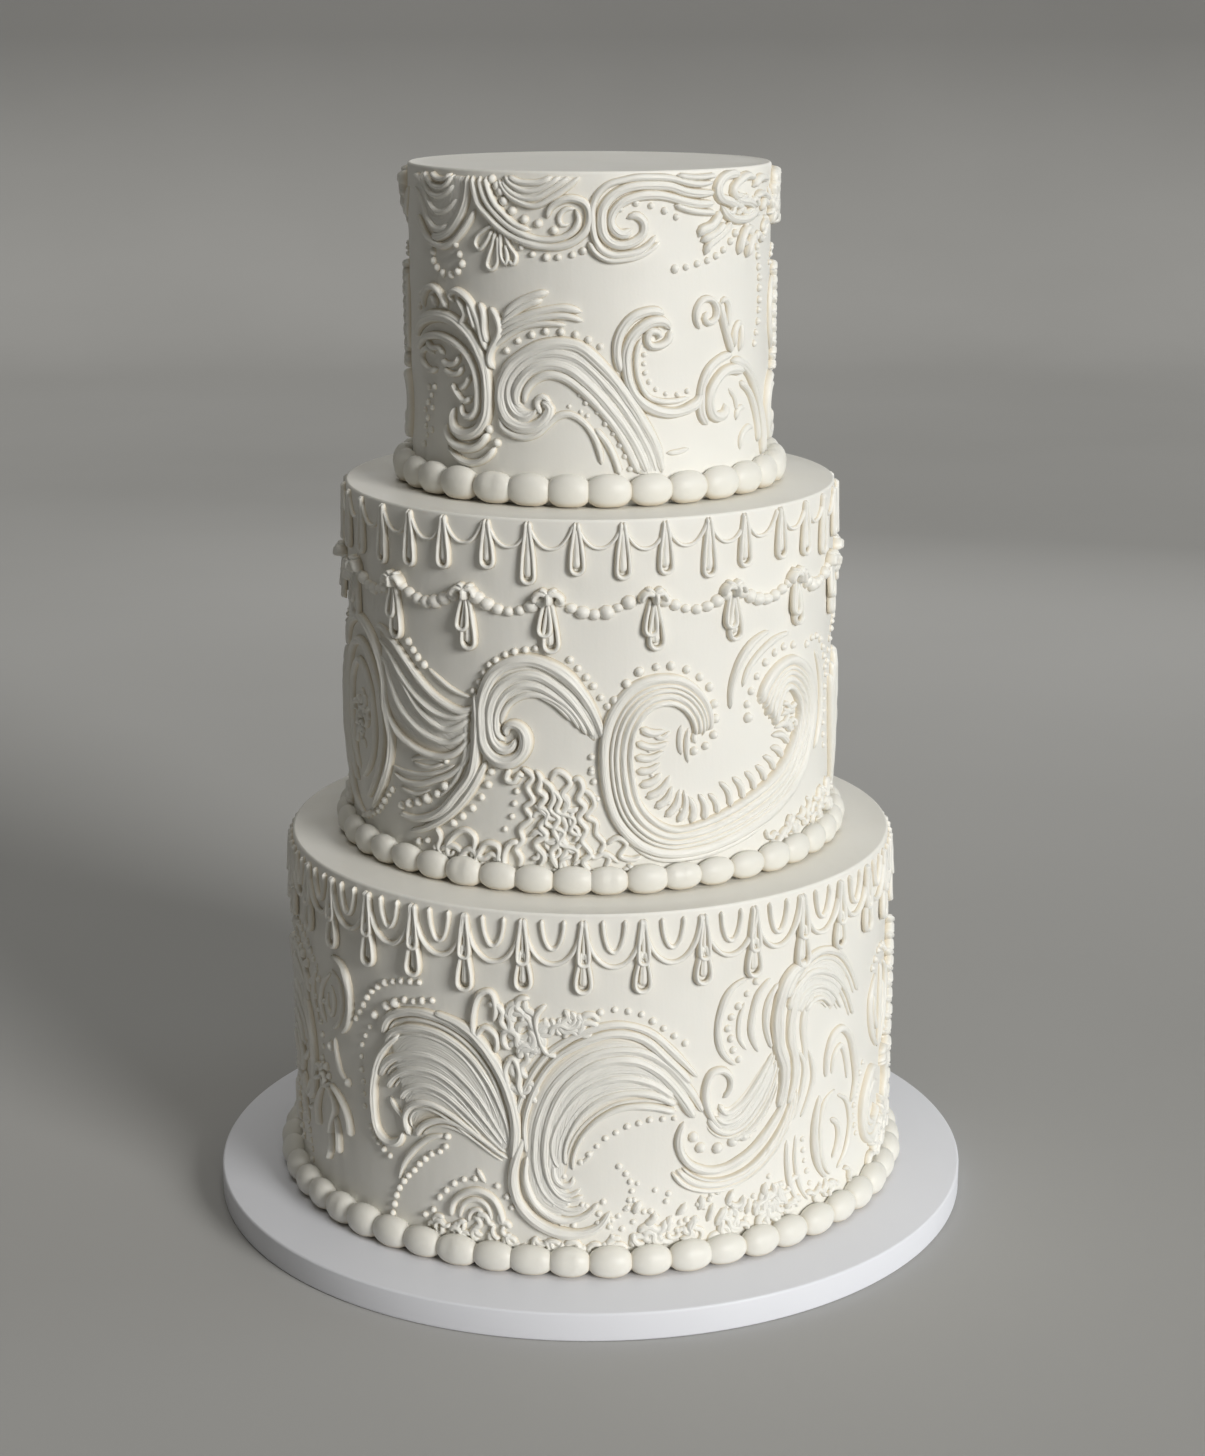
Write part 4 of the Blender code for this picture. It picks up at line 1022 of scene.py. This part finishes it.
def tumbling_wave(p):
    """The lower middle: a wave that curls on the left and runs down to the right, with a fan over it."""
    p.swath([(-19.5, 37), (-25, 31), (-31.5, 31.5), (-36, 38), (-36.5, 47), (-31.5, 56), (-23, 61.5),
        (-13.5, 63.5), (-4, 62), (4, 55.5), (12, 46), (20, 34), (26, 23), (29, 12)],
        [(-20, 39.5), (-22, 37), (-25.5, 38), (-27, 42), (-25.5, 46), (-21, 49.5), (-15, 51), (-9, 50.5),
        (-3, 47), (3, 41), (8.5, 34), (13, 26.5), (16.5, 19), (18.5, 12)], 1, 1.1, stagger=0.0,
        ends=(True, False))
    for width, points in (
            (4.4, [(28.5, 12), (25.5, 22.5), (19.5, 33.5), (12, 45), (4, 54.5), (-3.5, 61), (-10, 62.5),
                (-18, 61.5), (-25.5, 58), (-31.5, 53), (-35, 46), (-35.5, 39), (-33, 33), (-28, 30),
                (-22, 30), (-17, 33.5), (-15.5, 38), (-19, 40)]),
            (3.2, [(26, 12), (22, 22.5), (16, 33), (9, 43), (1.5, 51.5), (-5.5, 57), (-13, 59), (-21, 57.5),
                (-28, 52.5), (-32, 46), (-32, 40), (-29.5, 35.5), (-25.5, 34), (-22, 36)]),
            (4.0, [(22.5, 12), (18.5, 21.5), (12.5, 31.5), (6, 40), (-1.5, 48), (-8, 53), (-15, 54.5),
                (-22, 52.5), (-27, 47.5), (-29, 42), (-28, 37.5)]),
            (3.0, [(19, 12), (15, 21), (9.5, 30.5), (3.5, 38), (-3.5, 45), (-10, 49.5), (-16, 50.5),
                (-21.5, 48), (-25, 43.5), (-25.5, 39)]),
            (2.4, [(11.5, 12), (9.5, 18.5), (6.5, 24.5), (2, 30)]),
            (2.4, [(-36, 34), (-35, 29.5), (-31, 27), (-25.5, 26), (-20.5, 27.5), (-16.5, 31), (-12.5, 34.5),
                (-8, 35.5), (-3, 33), (1, 28), (3.5, 22), (4.5, 16)])):
        p.rib(points, 1.2 * width, 0.45 * width + 0.8, (0.06, 0.08))
    p.rib([(-18.5, 35), (-20.5, 40), (-18, 42), (-15, 39)], 3.0)
    p.pearls([(-1.5, 40), (3, 36.5), (6, 32), (9, 28), (11.5, 23.5), (13.5, 19), (15.5, 14)], 2.5)
    p.pearls([(-4, 43), (-3.5, 36.5), (-8, 38.5), (-1, 35)], 1.9)
    p.lines(2.4, (0.2, 0.15),
        (3.2, [(-34.5, 71), (-31, 75), (-27, 78), (-22.5, 80), (-15.5, 82)]),
        (3.0, [(-35.5, 68.5), (-30.5, 73), (-25, 76.5), (-18, 79)]),
        (3.2, [(-36.5, 66.5), (-31, 70), (-24, 73), (-17, 75), (-9.5, 76), (-3, 74.5)]),
        (2.8, [(-37.5, 63.5), (-31.5, 67.5), (-25, 70.5), (-17, 72.5), (-9, 73), (-2.5, 71)]),
        (2.4, [(-40, 58.5), (-36, 62), (-31, 65.5), (-25, 68.5), (-17, 70), (-9, 69.5)]))
    p.pearls([(-33, 59), (-28, 63), (-22.5, 65.5), (-17, 67), (-11, 67), (-5.5, 66), (-0.5, 64), (4, 61.5)],
        3.0)


def facing_scrolls(p):
    """The lower right: a C scroll with a rolled head, a second falling to the right, a curl and leaves."""
    p.raised_lines((0.08, 0.1),
        (3.8, 2.6, [(29, 73), (25, 74.5), (20.5, 74), (16, 72), (12.5, 68), (10.5, 62.5), (10.5, 57),
            (12, 51.5)]),
        (4.2, 3.2, [(31.5, 67), (29, 70), (24.5, 70.5), (20, 68.5), (16, 64.5), (14, 59), (14, 53),
            (15, 47.5), (17.5, 42.5), (21.5, 38.5), (27, 36), (33, 35), (39, 36), (44, 38.5), (46, 43)]),
        (2.2, 2.0, [(20, 64.5), (18, 59), (18, 52), (19.5, 46.5), (22.5, 42), (27, 40), (33, 39.5),
            (40, 40.5)]),
        (3.0, 2.6, [(31.5, 67), (30.5, 63), (26.5, 61), (23, 61.5), (22, 65), (24, 67), (27, 65.5),
            (26, 63.5)]),
        (3.6, 2.6, [(62, 55.5), (55, 54), (49.5, 50.5), (46.5, 45.5), (45.5, 39), (46, 33.5), (49, 29)]),
        (4.4, 3.0, [(70, 48), (64, 49.5), (58, 49), (53.5, 46), (50.5, 41.5), (50, 37), (51.5, 33),
            (55, 31.5), (58.5, 33), (58.5, 36.5)]),
        (4.4, 3.0, [(62, 53), (69, 51), (75, 46.5), (80, 40), (84, 33), (87, 26), (89, 19), (89.5, 12)]),
        (3.0, 2.2, [(68, 44), (74, 40), (79, 33.5), (82.5, 26), (84.5, 18)]))
    p.pearls([(21, 58), (21, 54.5), (21.5, 51), (23, 47.5), (26, 44.5), (30, 42.5), (35, 42), (39.5, 43)],
        2.2)
    p.rib([(45, 66.5), (43, 69.5), (43, 74), (46, 77.5), (50.5, 77.5), (53, 74), (52.5, 70), (49, 68.5),
        (47, 70.5), (48.5, 73)], 2.6, 2.4, (0.15, 0.1))
    p.rib([(55.5, 75.5), (58, 77), (60, 75), (60.5, 71), (60, 66)], 2.8)
    p.rib([(55, 76), (56, 71.5), (57.5, 67), (59.5, 62), (62, 56)], 3.2, 2.6, (0.2, 0.1))
    p.rib([(68.5, 68), (65.5, 66), (64, 62.5), (64.5, 58)], 3.0)
    p.rib([(69, 67), (69, 61), (67.5, 56)], 2.8)
    p.rib([(30.5, 19.5), (34.5, 19.5), (40.5, 20.5)], 2.2)
    p.rib([(66, 29), (67, 33), (72, 33.5)], 2.8)
    p.rib([(69, 17), (69.5, 22), (74, 25), (79, 24.5)], 3.0)
    p.rib([(61, 42), (65, 38), (66, 33)], 2.4)
    p.pearl_line([(80, 58), (84, 70), (84, 84), (81, 96)], 3.0, 4.4)


def top_design(p):
    """The top tier's front: drapery and a spiral under the rim, rolling scrolls below."""
    rim_drapery(p)
    rim_spiral(p)
    leafy_scroll(p)
    tumbling_wave(p)
    facing_scrolls(p)
    top_side(p, 112)


def top_side(p, x):
    """A small double scroll with pearls, for the walls beside the front."""
    for hand in (-1, 1):
        p.swath(moved([(2, 20), (11, 16), (19, 26), (17, 40), (7, 46)], x, hand),
            moved([(4, 30), (9, 25), (13, 29), (12, 36), (7, 38)], x, hand), 2, 2.6)
        p.rib(moved([(2, 52), (11, 62), (11, 76), (4, 82)], x, hand), 3.0)
        p.rib(moved([(18, 118), (10, 109), (0, 105)], x, hand), 2.8)
    p.pearl_line([(x - 12, 88), (x, 94), (x + 12, 88)], 2.6, 4.4)
    p.braid(x, 44, 86, 4.6)
    p.strands(lambda px, pz: abs(px - x + 8) < 16 and 94 < pz < 124, (x - 24, 95, x + 8, 123), 10, 2.8, 60,
        1.6)


def ripple(angle, height, seed):
    """A slow unevenness over a wall, from a few waves round it and up it."""
    random = np.random.default_rng(seed)
    total = np.zeros(np.broadcast(angle, height).shape)
    for waves in range(2, 9):
        phase, slant = random.uniform(0, 2 * math.pi), random.uniform(-0.06, 0.06)
        total += np.sin(waves * angle + slant * height + phase) / waves
    return total / 1.4


def full_turn(count):
    """Equal steps once round, in one row."""
    return np.linspace(0, 2 * math.pi, count, endpoint=False)[None, :]


def turned(name, places, look, slot):
    """One closed piece made of rings round the cake's axis."""
    rows, columns = places.shape[:2]
    shell = Shell()
    shell.add(places.reshape(-1, 3), tube(rows, columns), np.ones(rows * columns))
    return shell.build(name, look, slot)


def cake_wall(name, wall, look, seed):
    """The smoothed icing of one tier: its foot, wall, softened rim and flat top."""
    turn = full_turn(WALL_COLUMNS)
    bend = np.radians(np.linspace(0, 90, 6))[1:]
    straight = wall.height - RIM_ROUND
    top_reach = (wall.radius - RIM_ROUND) * np.linspace(1, 0.02, TOP_RINGS + 1)[1:]
    heights = np.concatenate([np.linspace(0, straight, WALL_ROWS), straight + RIM_ROUND * np.sin(bend),
                              np.full(TOP_RINGS, wall.height)])
    reach = np.concatenate([np.full(WALL_ROWS, wall.radius), wall.radius - RIM_ROUND * (1 - np.cos(bend)),
                            top_reach])
    uneven = ripple(turn, heights[:, None], seed)
    edge = np.clip((wall.height - heights) / 8, 0.25, 1)[:, None] * np.clip(heights / 8, 0, 1)[:, None]
    radius = reach[:, None] + WALL_UNEVEN * uneven * edge * (reach / wall.radius)[:, None]
    on_top = (heights > wall.height - 0.01)[:, None]
    z = heights[:, None] - np.where(on_top, TOP_UNEVEN * (1 + uneven), 0.0)
    piece = turned(f"cake_{name}", about_axis(radius, turn, wall.foot + z), look, "icing")
    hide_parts(f"tier_{name}")


def bead_border(name, wall, look, seed):
    """The beads piped against each other round a tier's foot."""
    node = f"border_{name}"
    low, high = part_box(node)
    tall = (high.z - low.z) / MM
    depth = 0.5 * (high.x / MM - wall.radius)
    middle = wall.radius + depth
    pitch = 2 * math.pi * middle / BEADS[name]
    random = np.random.default_rng(seed)
    polar = np.linspace(0.02, math.pi - 0.02, BEAD_ROWS)[:, None]
    round_bead = full_turn(BEAD_COLUMNS)
    body = np.sin(polar) ** 0.84
    along = -np.cos(polar) + 0 * round_bead
    faces = tube(BEAD_ROWS, BEAD_COLUMNS)
    shell = Shell()
    for k in range(BEADS[name]):
        size = random.uniform(0.93, 1.04)
        long_half = 0.57 * pitch * random.uniform(0.96, 1.04)
        dent = random.choice(BEAD_DENTS) * np.exp(-((along - random.uniform(-0.3, 0.3)) / 0.17) ** 2)
        facing = np.clip(np.cos(round_bead - random.uniform(0.2, 0.7)), 0, 1) ** 2
        out = body * np.cos(round_bead) * (depth + BEAD_SINK) * size - dent * facing
        up = body * np.sin(round_bead) * 0.53 * tall * size - 0.5 * dent * facing
        x = (k + 0.5 + random.normal(0, 0.02)) * pitch + along * long_half
        z = np.maximum(up + 0.46 * tall, 0.1 * (1 - body))
        # painted shade at each bead's ends, where it meets the next, and low down, where it sits on the tier
        # below
        relief = np.clip((body * 1.25 - 0.15) * np.clip(z / (0.3 * tall), 0.25, 1), 0, 1)
        places = about_axis(middle - BEAD_SINK + out, x / middle, wall.foot + z)
        shell.add(places.reshape(-1, 3), faces, relief.ravel())
    piece = shell.build(f"beads_{name}", look, "bead_icing")
    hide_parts(node)


def drum_board(look):
    """The round board, with a softened edge above and below."""
    low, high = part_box("board")
    radius, thick = high.x / MM, (high.z - low.z) / MM
    bend = np.radians(np.linspace(0, 90, 5))
    flat = [0.3 * radius, 0.8 * radius]
    reach = np.concatenate([flat, radius - BOARD_BEVEL + BOARD_BEVEL * np.sin(bend),
                            radius - BOARD_BEVEL + BOARD_BEVEL * np.cos(bend), flat[::-1]])
    heights = np.concatenate([[0, 0], BOARD_BEVEL - BOARD_BEVEL * np.cos(bend),
                              thick - BOARD_BEVEL + BOARD_BEVEL * np.sin(bend), [thick, thick]])
    places = about_axis(reach[:, None], full_turn(BOARD_COLUMNS), heights[:, None])
    piece = turned("drum_board", places, look, "board_white")
    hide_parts("board")


class Look:
    """A node material under way; colours are triples or other nodes' outputs."""

    def __init__(self, name):
        self.material = bpy.data.materials.new(name)
        self.material.use_nodes = True
        tree = self.material.node_tree
        self.nodes, self.links, self.shader = tree.nodes, tree.links, tree.nodes["Principled BSDF"]
        self.places = self.nodes.new("ShaderNodeTexCoord").outputs["Object"]

    def fill(self, node, **inputs):
        """Sets inputs to numbers, or joins them to outputs; an underscore in a name stands for a space."""
        for name, value in inputs.items():
            socket = node.inputs[name.replace("_", " ")]
            if isinstance(value, bpy.types.NodeSocket):
                self.links.new(value, socket)
            else:
                socket.default_value = value

    def made(self, kind, output, **inputs):
        """The named output of a new node."""
        node = self.nodes.new(f"ShaderNode{kind}")
        self.fill(node, **inputs)
        return node.outputs[output]

    def attribute(self, name, output):
        """What the mesh says at each vertex."""
        node = self.nodes.new("ShaderNodeAttribute")
        node.attribute_name = name
        return node.outputs[output]

    def noise(self, scale, detail=2.0, places=None):
        return self.made("TexNoise", "Fac", Scale=scale, Detail=detail,
                         Vector=self.places if places is None else places)

    def spread(self, value, low=0.0, high=1.0):
        """The middle of a noise's range as values from low to high."""
        return self.made("MapRange", "Result", Value=value, From_Min=0.3, From_Max=0.7, To_Min=low,
                         To_Max=high)

    def bump(self, height, strength, distance, **under):
        return self.made("Bump", "Normal", Height=height, Strength=strength, Distance=distance, **under)

    def blend(self, factor, *colours):
        """The first of two colours where the factor is 0, the second where it is 1."""
        node = self.nodes.new("ShaderNodeMix")
        node.data_type = "RGBA"
        first, second = ((*colour, 1.0) if isinstance(colour, tuple) else colour for colour in colours)
        self.fill(node, Factor=factor, A=first, B=second)
        return node.outputs["Result"]


def icing_material(name, light, crease_shade, roughness, grain, smears, streaks=0.0):
    """Ivory icing with painted shade, a warmer darker colour, in the creases and at the feet of strokes;
    faintly smeared or streaked along its strokes, finely grained.
    """
    look = Look(name)
    mottled = look.blend(look.spread(look.noise(22.0)), tuple(0.965 * c for c in light), light)
    # painted shade: the crease colour takes the place of the icing's own colour where the mesh's per-vertex
    # value is low
    shade = look.nodes.new("ShaderNodeMapRange")
    shade.interpolation_type = "SMOOTHSTEP"
    look.fill(shade, From_Max=0.75, Value=look.attribute("relief", "Fac"))
    upright = look.made("Mapping", "Vector", Vector=look.places, Scale=(1.0, 1.0, 0.14))
    finish = look.bump(look.noise(900.0, 3.0), 0.35, grain)
    finish = look.bump(look.noise(170.0, 3.0, upright), 0.5, smears, Normal=finish)
    if streaks:
        strokes = look.attribute("flow", "Vector")
        drawn = look.made("Mapping", "Vector", Vector=strokes, Scale=(0.10, 1.0, 1.0))
        finish = look.bump(look.noise(1.1, 2.0, drawn), 0.6, streaks, Normal=finish)
    look.fill(look.shader, Base_Color=look.blend(shade.outputs["Result"], crease_shade, mottled),
              Roughness=look.spread(look.noise(60.0), roughness - 0.06, roughness + 0.06), Normal=finish,
              Subsurface_Weight=0.12, Subsurface_Radius=(1.0, 0.9, 0.78), Subsurface_Scale=0.0008,
              Specular_IOR_Level=0.4)
    return look.material


def board_material():
    """Smooth white covering, a little cooler than the icing."""
    look = Look("board_covering")
    look.fill(look.shader,
              Base_Color=look.blend(look.spread(look.noise(9.0)), (0.775, 0.785, 0.83), (0.81, 0.82, 0.865)),
              Roughness=look.spread(look.noise(40.0), 0.42, 0.52),
              Normal=look.bump(look.noise(300.0, 3.0), 0.2, 0.0001))
    return look.material


def floor_material():
    """A pale, faintly patchy floor that turns to a darker grey higher up."""
    look = Look("floor_paint")
    level = look.made("SeparateXYZ", "Z", Vector=look.places)
    height = look.made("MapRange", "Result", Value=level, From_Max=0.45)
    patches = look.spread(look.noise(1.2, 4.0))
    low = look.blend(patches, (0.40, 0.396, 0.384), (0.445, 0.441, 0.43))
    high = look.blend(patches, (0.195, 0.193, 0.186), (0.225, 0.222, 0.214))
    look.fill(look.shader, Base_Color=look.blend(height, low, high), Roughness=0.9)
    return look.material


def floor():
    """A floor that sweeps up into a backdrop behind the cake."""
    width, front, back, bend, top = 6.0, -4.0, 2.6, 1.4, 5.0
    angles = np.radians(np.linspace(0, 90, 17))
    sweep = [(back + bend * math.sin(a), bend * (1 - math.cos(a))) for a in angles]
    profile = [(front, 0.0)] + sweep + [(back + bend, top)]
    vertices = [(side * width, y, z) for y, z in profile for side in (-1, 1)]
    faces = [(2 * i, 2 * i + 1, 2 * i + 3, 2 * i + 2) for i in range(len(profile) - 1)]
    data = bpy.data.meshes.new("floor")
    data.from_pydata(vertices, [], faces)
    data.shade_smooth()
    data.materials.append(floor_material())
    piece = bpy.data.objects.new("floor", data)
    bpy.context.scene.collection.objects.link(piece)


def stand(name, data, tilt, turn, place=(0.0, 0.0, 0.0)):
    """Puts a lamp or the camera in the scene, tilted up from straight down and turned, in degrees."""
    made = bpy.data.objects.new(name, data)
    made.location = place
    made.rotation_euler = (math.radians(tilt), 0.0, math.radians(turn))
    bpy.context.scene.collection.objects.link(made)
    return made


def sun(name, azimuth, elevation, strength, softness, colour):
    """A far light; the azimuth is counted from the camera's side towards the right."""
    data = bpy.data.lights.new(name, "SUN")
    data.energy, data.angle, data.color = strength, math.radians(softness), colour
    stand(name, data, 90 - elevation, azimuth)


def lights():
    """Soft lights from the front right and above, cooler ones from the right and behind, a dim surround."""
    sun("key", 41, 18, 2.58, 21, (1.0, 0.992, 0.972))
    sun("high", 0, 82, 0.60, 40, (1.0, 0.985, 0.95))
    sun("side", 95, 15, 0.28, 30, (0.80, 0.93, 1.0))
    data = bpy.data.lights.new("behind", "AREA")
    data.energy = 2.0
    data.shape, data.size, data.size_y = "RECTANGLE", 1.5, 0.4
    stand("behind", data, -80, -15, (0.35, 1.35, 0.55)).visible_camera = False
    world = bpy.data.worlds.new("surround")
    world.use_nodes = True
    background = world.node_tree.nodes["Background"]
    background.inputs["Color"].default_value = (1.0, 0.965, 0.86, 1.0)
    background.inputs["Strength"].default_value = 0.068
    bpy.context.scene.world = world
    bpy.context.scene.view_settings.view_transform = "Standard"


def camera():
    """The photograph's viewpoint: just above the top tier, looking slightly down."""
    data = bpy.data.cameras.new("camera")
    data.sensor_width = SENSOR_MM
    data.lens = LENS_MM
    data.clip_start = 0.05
    seen = stand("camera", data, 90 - CAMERA_PITCH, -CAMERA_YAW, CAMERA_PLACE)
    bpy.context.scene.camera = seen


def main():
    """The whole scene; seeds are spaced so that every wall, border and design has its own."""
    camera()
    lights()
    floor()
    # each icing's first colour is its own ivory, its second a darker, warmer painted crease shade
    ivory = icing_material("icing_smooth", (0.86, 0.845, 0.79), (0.80, 0.755, 0.66), 0.52, 0.00010, 0.00025)
    piped = icing_material("icing_piped", (0.86, 0.845, 0.79), (0.76, 0.685, 0.55), 0.46, 0.00012, 0.00008,
                           0.0008)
    # the beads' icing is the same ivory painted a little darker, as painted shade on the beads
    beaded = icing_material("icing_beads", (0.80, 0.783, 0.72), (0.70, 0.605, 0.455), 0.46, 0.00010, 0.00006)
    drum_board(board_material())
    designs = {"bottom": (bottom_design, bottom_strings), "middle": (middle_design, middle_strings),
               "top": (top_design, None)}
    for number, (name, (design, hung)) in enumerate(designs.items()):
        wall = Wall(f"tier_{name}")
        cake_wall(name, wall, ivory, SEED + number)
        bead_border(name, wall, beaded, SEED + 10 + number)
        piping = Piping(wall, SEED + 20 + number)
        for side, turn in (("front", 0.0), ("back", 0.5 * wall.girth)):
            piping.turn = turn
            design(piping)
            piping.build_scrolls(f"{name}_{side}", piped)
        piping.turn = 0.0
        if hung:
            hung(piping)
        piping.build(name, piped)


main()
